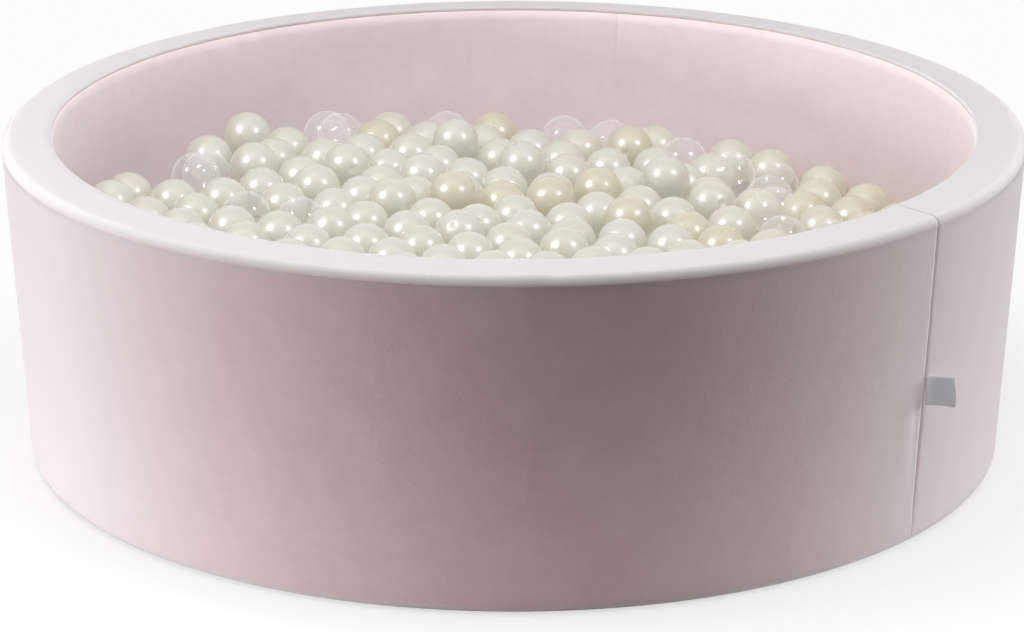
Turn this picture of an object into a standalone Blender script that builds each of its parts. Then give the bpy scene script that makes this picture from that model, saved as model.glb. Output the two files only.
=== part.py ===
"""Round foam ball pit with a zipped fabric cover, a lift-out floor mat and a fill of play balls.

Metres, +Z up. The origin is the centre of the pit on the floor, and -Y is the front.
"""

import math

import bmesh
import bpy
import numpy as np
from mathutils import Matrix, Vector
from mathutils.geometry import delaunay_2d_cdt

# The wall of the pit
RIM_RADIUS = 0.610
WALL_HEIGHT = 0.396
WALL_THICKNESS = 0.0595
WALL_LEAN = 0.0236
RIM_EDGE_RADIUS = 0.0205
FOOT_EDGE_RADIUS = 0.012
HEM_LIFT = 0.0006
FABRIC = 0.0012
GAP = 0.0003
SEAM_OPENING = 0.0008
OUTER_SEAM_ANGLE = -39.5
INNER_SEAM_ANGLE = 75.5
FOAM_JOINT_ANGLE = 90.0
RING_SEGMENTS = 48
RIM_ARC_STEPS = 4
FOOT_ARC_STEPS = 2
ANGLE_TOLERANCE = 0.00001
MERGE_DISTANCE = 0.00003
SMOOTH_ANGLE = 35.0

# The label sewn beside the outer seam
LABEL_WIDTH = 0.035
LABEL_HEIGHT = 0.035
LABEL_THICKNESS = 0.0008
LABEL_MIDDLE_HEIGHT = 0.187
LABEL_DROOP = 7.0
LABEL_START_TURN = 24.0
LABEL_END_TURN = 62.0
LABEL_BEND_STEPS = 4

# The zips
TAPE_WIDTH = 0.0105
TAPE_THICKNESS = 0.0008
COIL_WIDTH = 0.0024
COIL_HEIGHT = 0.0020
COIL_TOP_SHARE = 0.5
ZIP_START_ANGLE = 95.0
ZIP_SWEEP = 350.0
ZIP_RECESS_DEPTH = 0.0082
SLIDER_LENGTH = 0.012
SLIDER_PLATE = 0.0010
SLIDER_CHEEK = 0.0009
BAIL_WIDTH = 0.0018
BAIL_LENGTH = 0.0056
BAIL_BAR = 0.0008
BAIL_WINDOW_HEIGHT = 0.0013
PULL_LENGTH = 0.021
PULL_WIDTH = 0.0062
PULL_THICKNESS = 0.0007
PULL_EYE_LENGTH = 0.0030
PULL_EYE_BAR = 0.0008
PULL_ARM = 0.0012
PULL_CORNER_STEPS = 2
PARALLEL_SHARE = 0.9
STOP_LENGTH = 0.003

# The floor mat
MAT_CLEARANCE = 0.0169
MAT_THICKNESS = 0.050

# The balls
BALL_DIAMETER = 0.062
BALL_SEGMENTS = 12
BALL_RINGS = 6
PILE_FLOOR = 0.201
PILE_FALL = 0.020
PILE_MOUND_HEIGHT = 0.010
PILE_MOUND_SPREAD = 0.16
PILE_MOUND_SHARES = (-0.60, 0.72)
PILE_WALL_CLEARANCE = 0.0045
LOOSE_WALL_CLEARANCE = 0.011
BED_WALL_CLEARANCE = 0.008
BALL_SPACING = 0.0005
BED_BALLS = 246
BALL_SEED = 11
DROP_STEPS = 260
REST_STEPS = 60
DROP_SHARE = 0.03
DROP_TOP_SHARES = (0.5, 1.8)
HIGHEST_BED_SHARE = 0.45
FILL_BALLS = 430
FILL_SEED = 5
FILL_STEPS = 160
FILL_WALL_CLEARANCE = 0.006
DOME_RINGS = ((0.55, 5), (0.94, 8))
VALLEY_SPACING = 0.021
VALLEY_REACH_SHARE = 1.0
VALLEY_LEVEL = 0.130
SEAT_RIM_SHARE = 0.74
SEAT_RIM_DROP_SHARE = 0.30
SEAT_RIM_POINTS = 7
BED_EDGE_SHARE = 0.25
SEAT_RISE = 0.124

# Each loose ball: its place in plan as shares of the pile's radius, how many diameters it stands above
# the pile's floor, and its finish, chosen by hand from the photograph
LOOSE_BALL_SHARES = (
    (-0.79, 0.39, 0.25, "clear"),
    (-0.65, 0.50, 0.20, "pearl"),
    (-0.68, 0.71, 0.30, "pearl"),
    (-0.48, 0.78, 0.25, "clear"),
    (-0.49, 0.37, 0.15, "pearl"),
    (-0.44, 0.06, 0.10, "pearl"),
    (-0.42, 0.53, 0.20, "pearl"),
    (-0.30, 0.27, 0.20, "pearl"),
    (-0.23, 0.51, 0.15, "pearl"),
    (-0.15, 0.78, 0.30, "pearl"),
    (-0.15, 0.31, 0.30, "cream"),
    (-0.13, 0.05, 0.15, "pearl"),
    (0.02, 0.62, 0.25, "pearl"),
    (0.09, 0.34, 0.20, "cream"),
    (0.12, -0.04, 0.10, "pearl"),
    (0.21, 0.44, 0.20, "cream"),
    (0.28, 0.20, 0.20, "cream"),
    (0.30, 0.83, 0.20, "cream"),
    (0.38, 0.48, 0.40, "pearl"),
    (0.49, 0.36, 0.20, "pearl"),
    (0.55, 0.58, 0.30, "clear"),
    (0.64, 0.28, 0.30, "clear"),
)

WALL_PINK = (0.78, 0.66, 0.69)
RIM_PINK = (0.82, 0.72, 0.74)
LINING = (0.70, 0.66, 0.64)
FOAM_WHITE = (0.84, 0.82, 0.76)
ZIP_PINK = (0.72, 0.58, 0.61)
ZIP_METAL = (0.62, 0.62, 0.64)
LABEL_WHITE = (0.82, 0.84, 0.88)
PEARL = (0.80, 0.79, 0.74)
CREAM = (0.74, 0.68, 0.56)
CLEAR_BALL = (0.78, 0.78, 0.78)

BALL_RADIUS = BALL_DIAMETER / 2
RING_STEP = 360.0 / RING_SEGMENTS
SKIN_STEP = FABRIC + GAP


def material(name, colour, roughness, metallic=0.0):
    made = bpy.data.materials.new(name)
    made.use_nodes = True
    shader = made.node_tree.nodes["Principled BSDF"]
    shader.inputs["Base Color"].default_value = (*colour, 1.0)
    shader.inputs["Roughness"].default_value = roughness
    shader.inputs["Metallic"].default_value = metallic
    made.diffuse_color = (*colour, 1.0)
    return made


def add_object(name, shape, finish, origin=(0.0, 0.0, 0.0)):
    """Make an object of a bmesh whose points are in world space, with its origin at the given place."""
    bmesh.ops.recalc_face_normals(shape, faces=shape.faces)
    bmesh.ops.translate(shape, vec=-Vector(origin), verts=shape.verts)
    mesh = bpy.data.meshes.new(name)
    shape.to_mesh(mesh)
    shape.free()
    mesh.materials.append(finish)
    mesh.shade_smooth()
    mesh.set_sharp_from_angle(angle=math.radians(SMOOTH_ANGLE))
    made = bpy.data.objects.new(name, mesh)
    made.location = origin
    bpy.context.scene.collection.objects.link(made)
    return made


def carry(parent, children):
    for child in children:
        child.parent = parent
        child.matrix_parent_inverse = parent.matrix_world.inverted()


def ring_factor(angle):
    """Every ring is the same polygon: a point between two of its corners lies on the straight side."""
    offset = (angle - OUTER_SEAM_ANGLE) % RING_STEP - RING_STEP / 2
    return math.cos(math.radians(RING_STEP / 2)) / math.cos(math.radians(offset))


def ring_angles(start, end):
    """The two ends and the polygon's corners between them."""
    first = math.ceil((start - OUTER_SEAM_ANGLE + ANGLE_TOLERANCE) / RING_STEP)
    last = math.floor((end - OUTER_SEAM_ANGLE - ANGLE_TOLERANCE) / RING_STEP)
    corners = [OUTER_SEAM_ANGLE + k * RING_STEP for k in range(first, last + 1)]
    return [start, *corners, end]


def ring_point(radius, height, angle):
    turned = radius * ring_factor(angle)
    return (turned * math.cos(math.radians(angle)), turned * math.sin(math.radians(angle)), height)


def turned_shape(profile, angles, closed):
    """Carry a closed profile of (radius, height) points round Z through the angles."""
    shape = bmesh.new()
    rings = [[shape.verts.new(ring_point(r, z, angle)) for r, z in profile] for angle in angles]
    pairs = list(zip(rings, rings[1:]))
    if closed:
        pairs.append((rings[-1], rings[0]))
    count = len(profile)
    for near, far in pairs:
        for k in range(count):
            shape.faces.new((near[k], near[(k + 1) % count], far[(k + 1) % count], far[k]))
    if not closed:
        shape.faces.new(rings[0])
        shape.faces.new(reversed(rings[-1]))
    return shape


def full_ring(name, profile, finish):
    angles = ring_angles(OUTER_SEAM_ANGLE, OUTER_SEAM_ANGLE + 360.0)[:-1]
    return add_object(name, turned_shape(profile, angles, True), finish)


def part_ring(name, profile, start, end, finish):
    return add_object(name, turned_shape(profile, ring_angles(start, end), False), finish)


def disc(name, radius, low, high, finish):
    shape = bmesh.new()
    angles = ring_angles(OUTER_SEAM_ANGLE, OUTER_SEAM_ANGLE + 360.0)[:-1]
    bottom = [shape.verts.new(ring_point(radius, low, angle)) for angle in angles]
    top = [shape.verts.new(ring_point(radius, high, angle)) for angle in angles]
    shape.faces.new(reversed(bottom))
    shape.faces.new(top)
    for k in range(len(angles)):
        following = (k + 1) % len(angles)
        shape.faces.new((bottom[k], bottom[following], top[following], top[k]))
    return add_object(name, shape, finish)


def angle_of(length, radius):
    return math.degrees(length / radius)


def arc(centre, radius, start, end, steps):
    points = []
    for k in range(steps + 1):
        angle = math.radians(start + (end - start) * k / steps)
        points.append((centre[0] + radius * math.cos(angle), centre[1] + radius * math.sin(angle)))
    return points


def outer_radius(height):
    """The wall leans in from the rim down to the floor."""
    return RIM_RADIUS - WALL_LEAN * (1.0 - height / WALL_HEIGHT)


def inner_radius(height):
    return outer_radius(height) - WALL_THICKNESS


MAT_RADIUS = inner_radius(0.0) - MAT_CLEARANCE
FOOT_CENTRE = (outer_radius(FOOT_EDGE_RADIUS) - FOOT_EDGE_RADIUS, FOOT_EDGE_RADIUS + HEM_LIFT)
RIM_CENTRE = (outer_radius(WALL_HEIGHT) - RIM_EDGE_RADIUS, WALL_HEIGHT - RIM_EDGE_RADIUS)
ZIP_RADIUS = FOOT_CENTRE[0] - TAPE_WIDTH - GAP
UNDERSIDE_EDGE = ZIP_RADIUS - TAPE_WIDTH - GAP


def outside_line(inset):
    """The wall's outer side from the rim down round the foot, set in by the inset."""
    rim = arc(RIM_CENTRE, RIM_EDGE_RADIUS - inset, 90.0, 0.0, RIM_ARC_STEPS)
    foot = arc(FOOT_CENTRE, FOOT_EDGE_RADIUS - inset, 0.0, -90.0, FOOT_ARC_STEPS)
    return [*rim, *foot]


def wall_foam():
    """Two bent foam strips make the ring, butted at the front and the back."""
    profile = without_doubles(
        [
            (inner_radius(0.0) + SKIN_STEP, SKIN_STEP),
            (inner_radius(WALL_HEIGHT) + SKIN_STEP, WALL_HEIGHT - SKIN_STEP),
            *outside_line(SKIN_STEP),
            (FOOT_CENTRE[0] + SKIN_STEP, HEM_LIFT + SKIN_STEP),
            (FOOT_CENTRE[0] + SKIN_STEP, ZIP_RECESS_DEPTH + GAP),
            (UNDERSIDE_EDGE - SKIN_STEP, ZIP_RECESS_DEPTH + GAP),
            (UNDERSIDE_EDGE - SKIN_STEP, SKIN_STEP),
        ]
    )
    finish = material("wall_foam", FOAM_WHITE, 0.95)
    half_gap = angle_of(GAP, inner_radius(0.0)) / 2
    start = FOAM_JOINT_ANGLE + half_gap
    end = FOAM_JOINT_ANGLE + 180.0 - half_gap
    left = part_ring("wall_foam_left", profile, start, end, finish)
    right = part_ring("wall_foam_right", profile, start - 180.0, end - 180.0, finish)
    return [left, right]


def without_doubles(points):
    kept = []
    for point in points:
        if not kept or math.dist(point, kept[-1]) > MERGE_DISTANCE:
            kept.append(point)
    return kept


def outer_cover_panel():
    """One fabric panel from the rim's inner edge over the rim, down the wall and under the foot."""
    profile = without_doubles(
        [
            (inner_radius(WALL_HEIGHT), WALL_HEIGHT),
            *outside_line(0.0),
            (FOOT_CENTRE[0], ZIP_RECESS_DEPTH),
            (FOOT_CENTRE[0] + FABRIC, ZIP_RECESS_DEPTH),
            *reversed(outside_line(FABRIC)),
            (inner_radius(WALL_HEIGHT), WALL_HEIGHT - FABRIC),
        ]
    )
    half_opening = angle_of(SEAM_OPENING, RIM_RADIUS) / 2
    start = OUTER_SEAM_ANGLE + half_opening
    end = OUTER_SEAM_ANGLE + 360.0 - half_opening
    return part_ring("outer_cover_panel", profile, start, end, material("outer_velvet", WALL_PINK, 0.9))


def inner_cover_panel():
    top = WALL_HEIGHT - SKIN_STEP
    profile = [
        (inner_radius(SKIN_STEP), SKIN_STEP),
        (inner_radius(SKIN_STEP) + FABRIC, SKIN_STEP),
        (inner_radius(top) + FABRIC, top),
        (inner_radius(top), top),
    ]
    half_opening = angle_of(SEAM_OPENING, inner_radius(top)) / 2
    start = INNER_SEAM_ANGLE + half_opening
    end = INNER_SEAM_ANGLE + 360.0 - half_opening
    return part_ring("inner_cover_panel", profile, start, end, material("inner_velvet", RIM_PINK, 0.9))


def underside_panel():
    """The flat ring that the wall stands on, turned up along the zip."""
    profile = [
        (inner_radius(0.0), 0.0),
        (UNDERSIDE_EDGE, 0.0),
        (UNDERSIDE_EDGE, ZIP_RECESS_DEPTH),
        (UNDERSIDE_EDGE - FABRIC, ZIP_RECESS_DEPTH),
        (UNDERSIDE_EDGE - FABRIC, FABRIC),
        (inner_radius(0.0), FABRIC),
    ]
    return full_ring("underside_panel", profile, material("underside_cloth", LINING, 0.95))


def side_label():
    """A bare folded label caught in the outer seam, standing out from the wall."""
    surface = outer_radius(LABEL_MIDDLE_HEIGHT + LABEL_HEIGHT / 2) + LABEL_THICKNESS + GAP
    seam = math.radians(OUTER_SEAM_ANGLE)
    outward = Vector((math.cos(seam), math.sin(seam), 0.0))
    along = Vector((-math.sin(seam), math.cos(seam), 0.0))
    place = outward * surface
    step = LABEL_WIDTH / LABEL_BEND_STEPS
    middle_line = [place]
    headings = []
    for k in range(LABEL_BEND_STEPS):
        share = k / (LABEL_BEND_STEPS - 1)
        turn = math.radians(LABEL_START_TURN + (LABEL_END_TURN - LABEL_START_TURN) * share)
        heading = along * math.cos(turn) + outward * math.sin(turn)
        headings.append(heading)
        place = place + heading * step
        middle_line.append(place)
    headings.append(headings[-1])
    shape = bmesh.new()
    rings = []
    drop = step * math.tan(math.radians(LABEL_DROOP))
    for k, (point, heading) in enumerate(zip(middle_line, headings)):
        side = Vector((-heading.y, heading.x, 0.0)) * (LABEL_THICKNESS / 2)
        low = Vector((0.0, 0.0, LABEL_MIDDLE_HEIGHT - LABEL_HEIGHT / 2 - drop * k))
        high = low + Vector((0.0, 0.0, LABEL_HEIGHT))
        corners = (point - side + low, point + side + low, point + side + high, point - side + high)
        rings.append([shape.verts.new(corner) for corner in corners])
    for near, far in zip(rings, rings[1:]):
        for k in range(4):
            shape.faces.new((near[k], near[(k + 1) % 4], far[(k + 1) % 4], far[k]))
    shape.faces.new(rings[0])
    shape.faces.new(reversed(rings[-1]))
    return add_object("side_label", shape, material("label_ribbon", LABEL_WHITE, 0.6))


class Zip:
    """A zip that runs round Z. Its section is given by how far across the tapes and how far out from them."""

    def __init__(self, prefix, near_side, far_side, radius, height, faces_down):
        self.prefix = prefix
        self.near_side = near_side
        self.far_side = far_side
        self.radius = radius
        self.height = height
        self.faces_down = faces_down
        self.start = ZIP_START_ANGLE
        self.end = ZIP_START_ANGLE + ZIP_SWEEP
        sagitta = radius * (1.0 - math.cos(math.radians(RING_STEP / 2)))
        self.coil_reach = GAP / 2 + COIL_WIDTH
        self.coil_out = TAPE_THICKNESS + GAP + COIL_HEIGHT
        self.cheek_inside = self.coil_reach + GAP + (sagitta if faces_down else 0.0)
        self.cheek_outside = self.cheek_inside + SLIDER_CHEEK
        self.plate_out = self.coil_out + GAP
        self.back_out = self.plate_out + SLIDER_PLATE
        self.pin_out = self.back_out + BAIL_WINDOW_HEIGHT / 2

    def section(self, points):
        if self.faces_down:
            return [(self.radius + across, self.height - out) for across, out in points]
        return [(self.radius + out, self.height + across) for across, out in points]

    def frame(self, angle):
        """A matrix from (along, across, out) to the world at an angle round the ring."""
        turn = math.radians(angle)
        radial = Vector((math.cos(turn), math.sin(turn), 0.0))
        along = Vector((-math.sin(turn), math.cos(turn), 0.0))
        upward = Vector((0.0, 0.0, 1.0))
        across, out = (radial, -upward) if self.faces_down else (upward, radial)
        place = radial * self.radius + upward * self.height
        columns = Matrix((along, across, out)).transposed().to_4x4()
        return Matrix.Translation(place) @ columns

    def tapes(self, finish):
        made = []
        for side, word in ((1.0, self.near_side), (-1.0, self.far_side)):
            inner, outer = GAP / 2, TAPE_WIDTH
            points = [(inner, 0.0), (outer, 0.0), (outer, TAPE_THICKNESS), (inner, TAPE_THICKNESS)]
            section = self.section([(side * across, out) for across, out in points])
            made.append(part_ring(f"{self.prefix}_{word}_tape", section, self.start, self.end, finish))
        return made

    def coils(self, finish):
        made = []
        base = TAPE_THICKNESS + GAP
        for side, word in ((1.0, self.near_side), (-1.0, self.far_side)):
            crown = GAP / 2 + COIL_WIDTH * COIL_TOP_SHARE
            points = [(GAP / 2, base), (self.coil_reach, base), (crown, self.coil_out)]
            section = self.section([(side * across, out) for across, out in points])
            made.append(part_ring(f"{self.prefix}_{word}_coil", section, self.start, self.end, finish))
        return made

    def block(self, angle, along, across, out):
        """A box from its spans along, across and out of the zip."""
        shape = bmesh.new()
        bmesh.ops.create_cube(shape, size=1.0)
        spans = (along, across, out)
        middle = Vector([(low + high) / 2 for low, high in spans])
        sizes = [high - low for low, high in spans]
        bmesh.ops.scale(shape, vec=sizes, verts=shape.verts)
        bmesh.ops.translate(shape, vec=middle, verts=shape.verts)
        bmesh.ops.transform(shape, matrix=self.frame(angle), verts=shape.verts)
        return shape

    def stops(self, finish):
        made = []
        base = TAPE_THICKNESS + GAP
        half = STOP_LENGTH / 2
        reach = angle_of(half + GAP, self.radius)
        for angle, word in ((self.start - reach, "start"), (self.end + reach, "end")):
            width = (-self.coil_reach, self.coil_reach)
            shape = self.block(angle, (-half, half), width, (base, self.coil_out))
            made.append(add_object(f"{self.prefix}_{word}_stop", shape, finish))
        return made

    def slider_angle(self):
        return self.start + angle_of(SLIDER_LENGTH / 2 + GAP, self.radius)

    def slider(self, finish):
        angle = self.slider_angle()
        half = SLIDER_LENGTH / 2
        base = TAPE_THICKNESS + GAP
        width = (-self.cheek_outside, self.cheek_outside)
        body = self.block(angle, (-half, half), width, (base, self.back_out))
        made = add_object(f"{self.prefix}_slider", body, finish)
        bail_top = self.back_out + BAIL_WINDOW_HEIGHT + BAIL_BAR
        half_bail = BAIL_LENGTH / 2
        bail_width = (-BAIL_WIDTH / 2, BAIL_WIDTH / 2)
        overlap = SLIDER_PLATE / 2
        bail = self.block(angle, (-half_bail, half_bail), bail_width, (self.back_out - overlap, bail_top))
        combine(made, "UNION", add_object(f"{self.prefix}_bail_tool", bail, finish))
        inside = (-self.cheek_inside, self.cheek_inside)
        channel = self.block(angle, (-SLIDER_LENGTH, SLIDER_LENGTH), inside, (base - GAP, self.plate_out))
        combine(made, "DIFFERENCE", add_object(f"{self.prefix}_channel_tool", channel, finish))
        span = half_bail - BAIL_BAR
        opening = (self.back_out, self.back_out + BAIL_WINDOW_HEIGHT)
        window = self.block(angle, (-span, span), (-BAIL_WIDTH, BAIL_WIDTH), opening)
        combine(made, "DIFFERENCE", add_object(f"{self.prefix}_window_tool", window, finish))
        return made

    def pull(self, finish):
        """A flat tab whose eye goes round the bail, with its origin on the eye's bar."""
        angle = self.slider_angle()
        thickness = (self.pin_out - PULL_THICKNESS / 2, self.pin_out + PULL_THICKNESS / 2)
        half = PULL_WIDTH / 2
        back = PULL_EYE_BAR / 2
        tab = self.block(angle, (-back, PULL_LENGTH), (-half, half), thickness)
        bmesh.ops.bevel(
            tab,
            geom=[edge for edge in tab.edges if self.runs_out(edge, angle)],
            offset=PULL_ARM,
            segments=PULL_CORNER_STEPS,
            affect="EDGES",
        )
        pin = self.frame(angle) @ Vector((0.0, 0.0, self.pin_out))
        made = add_object(f"{self.prefix}_pull", tab, finish, origin=pin)
        eye = (back, back + PULL_EYE_LENGTH)
        sides = (-half + PULL_ARM, half - PULL_ARM)
        deep = (self.back_out, self.back_out + BAIL_WINDOW_HEIGHT)
        opening = self.block(angle, eye, sides, deep)
        combine(made, "DIFFERENCE", add_object(f"{self.prefix}_eye_tool", opening, finish))
        return made

    def runs_out(self, edge, angle):
        """Whether an edge stands at right angles to the tape, at the tab's free end."""
        out = self.frame(angle).to_3x3() @ Vector((0.0, 0.0, 1.0))
        local = self.frame(angle).inverted()
        run = edge.verts[1].co - edge.verts[0].co
        free_end = (local @ edge.verts[0].co).x > PULL_LENGTH / 2
        return free_end and abs(run.normalized().dot(out)) > PARALLEL_SHARE


def combine(made, operation, tool):
    tool.hide_render = True
    tool.display_type = "WIRE"
    step = made.modifiers.new(operation.lower(), "BOOLEAN")
    step.operation = operation
    step.object = tool
    step.solver = "EXACT"


def mat_pieces():
    """A foam disc in a cover of two round panels and two bands, with the zip between the bands."""
    slot = MAT_ZIP.cheek_outside + GAP
    foam_radius = MAT_ZIP.radius - GAP
    outside = MAT_RADIUS
    inside = MAT_RADIUS - FABRIC
    top = MAT_THICKNESS
    middle = MAT_THICKNESS / 2
    high = top - SKIN_STEP
    cloth = material("mat_velvet", RIM_PINK, 0.9)
    foam = disc("mat_foam", foam_radius, SKIN_STEP, high, material("mat_foam", FOAM_WHITE, 0.95))
    upper = [(inside, middle + slot), (outside, middle + slot), (outside, high), (inside, high)]
    lower = [(inside, SKIN_STEP), (outside, SKIN_STEP), (outside, middle - slot), (inside, middle - slot)]
    return [
        foam,
        disc("mat_top_panel", outside, top - FABRIC, top, cloth),
        disc("mat_underside_panel", outside, 0.0, FABRIC, material("mat_underside", LINING, 0.95)),
        full_ring("mat_upper_band", upper, cloth),
        full_ring("mat_lower_band", lower, cloth),
    ]


def spread_flat(places, least):
    """Push points on a plane apart until no two are nearer than the least distance."""
    places = places.copy()
    for _ in range(DROP_STEPS):
        away = places[:, None, :] - places[None, :, :]
        distance = np.linalg.norm(away, axis=2) + np.eye(len(places))
        short = np.clip(least - distance, 0.0, None)
        np.fill_diagonal(short, 0.0)
        places += (away / distance[:, :, None] * (short / 2)[:, :, None]).sum(axis=1)
    return places


def pile_reach():
    """How far out a ball's centre can lie at the top of the pile."""
    return inner_radius(PILE_FLOOR + BALL_RADIUS) - BALL_RADIUS - PILE_WALL_CLEARANCE


def pile_floor(plan):
    """What the top balls lie on: it falls to the right and has a low mound at the back left."""
    reach = pile_reach()
    fall = PILE_FALL * plan[:, 0] / reach
    apart = np.linalg.norm(plan - np.array(PILE_MOUND_SHARES) * reach, axis=1)
    return PILE_FLOOR - fall + PILE_MOUND_HEIGHT * np.exp(-((apart / PILE_MOUND_SPREAD) ** 2))


def loose_places():
    """The loose balls' centres, moved apart in plan where two would touch."""
    reach = pile_reach()
    limit = reach + PILE_WALL_CLEARANCE - LOOSE_WALL_CLEARANCE
    shares = np.array([place[:3] for place in LOOSE_BALL_SHARES])
    plan = spread_flat(shares[:, :2] * reach, BALL_DIAMETER + 2 * BALL_SPACING)
    plan *= np.minimum(1.0, limit / np.linalg.norm(plan, axis=1))[:, None]
    return np.column_stack([plan, pile_floor(plan) + BALL_RADIUS + shares[:, 2] * BALL_DIAMETER])


def settle_balls(loose):
    """Let the other balls drop and push each other apart round the loose ones, never over them."""
    random = np.random.RandomState(BALL_SEED)
    reach = pile_reach()
    touching = BALL_DIAMETER + BALL_SPACING
    turn = random.uniform(0.0, 2.0 * math.pi, BED_BALLS)
    out = reach * np.sqrt(random.uniform(0.0, 1.0, BED_BALLS))
    high = PILE_FLOOR + BALL_DIAMETER * random.uniform(*DROP_TOP_SHARES, BED_BALLS)
    centres = np.column_stack([out * np.cos(turn), out * np.sin(turn), high])
    for step in range(DROP_STEPS + REST_STEPS):
        if step < DROP_STEPS:
            centres[:, 2] -= BALL_DIAMETER * DROP_SHARE
        away = centres[:, None, :] - centres[None, :, :]
        distance = np.linalg.norm(away, axis=2) + np.eye(len(centres))
        short = np.clip(touching - distance, 0.0, None)
        np.fill_diagonal(short, 0.0)
        push = (away / distance[:, :, None] * (short / 2)[:, :, None]).sum(axis=1)
        over = centres[:, None, :] - loose[None, :, :]
        over[:, :, 2] = np.minimum(over[:, :, 2], 0.0)
        flat = np.linalg.norm(over, axis=2) + MERGE_DISTANCE
        near = np.clip(touching - flat, 0.0, None)
        push += (over / flat[:, :, None] * near[:, :, None]).sum(axis=1)
        centres += push
        out = np.linalg.norm(centres[:, :2], axis=1)
        centres[:, :2] *= np.minimum(1.0, reach / out)[:, None]
        centres[:, 2] = np.maximum(centres[:, 2], pile_floor(centres[:, :2]) + BALL_RADIUS)
    highest = pile_floor(centres[:, :2]) + BALL_RADIUS + BALL_DIAMETER * HIGHEST_BED_SHARE
    return centres[centres[:, 2] < highest]


def ball_finishes():
    return {
        "pearl": material("pearl_ball", PEARL, 0.25),
        "cream": material("cream_ball", CREAM, 0.25),
        "clear": material("clear_ball", CLEAR_BALL, 0.1),
    }


def ball_shape(centre, radius):
    shape = bmesh.new()
    bmesh.ops.create_uvsphere(shape, u_segments=BALL_SEGMENTS, v_segments=BALL_RINGS, radius=radius)
    bmesh.ops.translate(shape, vec=centre, verts=shape.verts)
    return shape


def loose_balls(centres):
    finishes = ball_finishes()
    made = []
    for number, centre in enumerate(centres):
        place = Vector(centre)
        finish = finishes[LOOSE_BALL_SHARES[number][3]]
        shape = ball_shape(place, BALL_RADIUS)
        made.append(add_object(f"ball_{number + 1:02d}", shape, finish, origin=place))
    return made


def fill_below(top):
    """Balls between the mat and the top layer, pushed apart while the top layer holds still."""
    random = np.random.RandomState(FILL_SEED)
    low = MAT_THICKNESS + BALL_RADIUS + GAP
    turn = random.uniform(0.0, 2.0 * math.pi, FILL_BALLS)
    out = pile_reach() * np.sqrt(random.uniform(0.0, 1.0, FILL_BALLS))
    high = random.uniform(low, PILE_FLOOR - BALL_RADIUS, FILL_BALLS)
    centres = np.column_stack([out * np.cos(turn), out * np.sin(turn), high])
    for _ in range(FILL_STEPS):
        away = centres[:, None, :] - centres[None, :, :]
        distance = np.linalg.norm(away, axis=2) + np.eye(len(centres))
        short = np.clip(BALL_DIAMETER - distance, 0.0, None)
        np.fill_diagonal(short, 0.0)
        push = (away / distance[:, :, None] * (short / 2)[:, :, None]).sum(axis=1)
        over = centres[:, None, :] - top[None, :, :]
        flat = np.linalg.norm(over, axis=2) + MERGE_DISTANCE
        near = np.clip(BALL_DIAMETER - flat, 0.0, None)
        push += (over / flat[:, :, None] * near[:, :, None]).sum(axis=1)
        centres += push
        room = inner_radius(centres[:, 2]) - BALL_RADIUS - FILL_WALL_CLEARANCE
        out = np.linalg.norm(centres[:, :2], axis=1)
        centres[:, :2] *= np.minimum(1.0, room / out)[:, None]
        centres[:, 2] = np.clip(centres[:, 2], low, PILE_FLOOR)
    return centres


def pile_height(points, centres):
    """The height of the pile's balls over points in plan, and the lowest level seen between them."""
    flat = np.linalg.norm(points[:, None, :] - centres[None, :, :2], axis=2)
    under = np.clip(BALL_RADIUS**2 - flat**2, 0.0, None)
    tops = np.where(flat < BALL_RADIUS, centres[None, :, 2] + np.sqrt(under), VALLEY_LEVEL)
    return tops.max(axis=1)


def bed_height(points, centres, loose):
    """The pile's height, and under each loose ball at least the rim of its seat."""
    flat = np.linalg.norm(points[:, None, :] - loose[None, :, :2], axis=2)
    rim = loose[None, :, 2] - BALL_RADIUS * SEAT_RIM_DROP_SHARE
    seats = np.where(flat < BALL_RADIUS * SEAT_RIM_SHARE + GAP, rim, 0.0)
    return np.maximum(pile_height(points, centres), seats.max(axis=1))


def round_points(centres, share, count):
    """Points on a ring round each centre in plan."""
    angles = [2.0 * math.pi * (k + share) / count for k in range(count)]
    ring = np.array([(math.cos(angle), math.sin(angle)) for angle in angles]) * BALL_RADIUS * share
    return np.concatenate([centres[:, :2] + offset for offset in ring])


def bed_points(top, centres, loose, bed_radius):
    """Crowns and rings of the balls that nothing covers, the rims of the seats, and points in the valleys."""
    plan = [top[:, :2]]
    level = [top[:, 2] + BALL_RADIUS]
    for share, count in DOME_RINGS:
        plan.append(round_points(top, share, count))
        level.extend([top[:, 2] + BALL_RADIUS * math.sqrt(1.0 - share**2)] * count)
    plan = np.concatenate(plan)
    seen = pile_height(plan, centres) < np.concatenate(level) + GAP
    count = int(2 * bed_radius / VALLEY_SPACING)
    steps = (np.arange(count + 1) - count / 2) * VALLEY_SPACING
    grid = np.stack(np.meshgrid(steps, steps), axis=-1).reshape(-1, 2)
    nearest = np.linalg.norm(grid[:, None, :] - top[None, :, :2], axis=2).min(axis=1)
    valleys = grid[nearest > BALL_RADIUS * VALLEY_REACH_SHARE]
    rims = round_points(loose, SEAT_RIM_SHARE, SEAT_RIM_POINTS)
    points = np.concatenate([plan[seen], valleys, rims])
    limit = bed_radius - BALL_RADIUS * BED_EDGE_SHARE
    return points[np.linalg.norm(points, axis=1) < limit]


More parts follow.
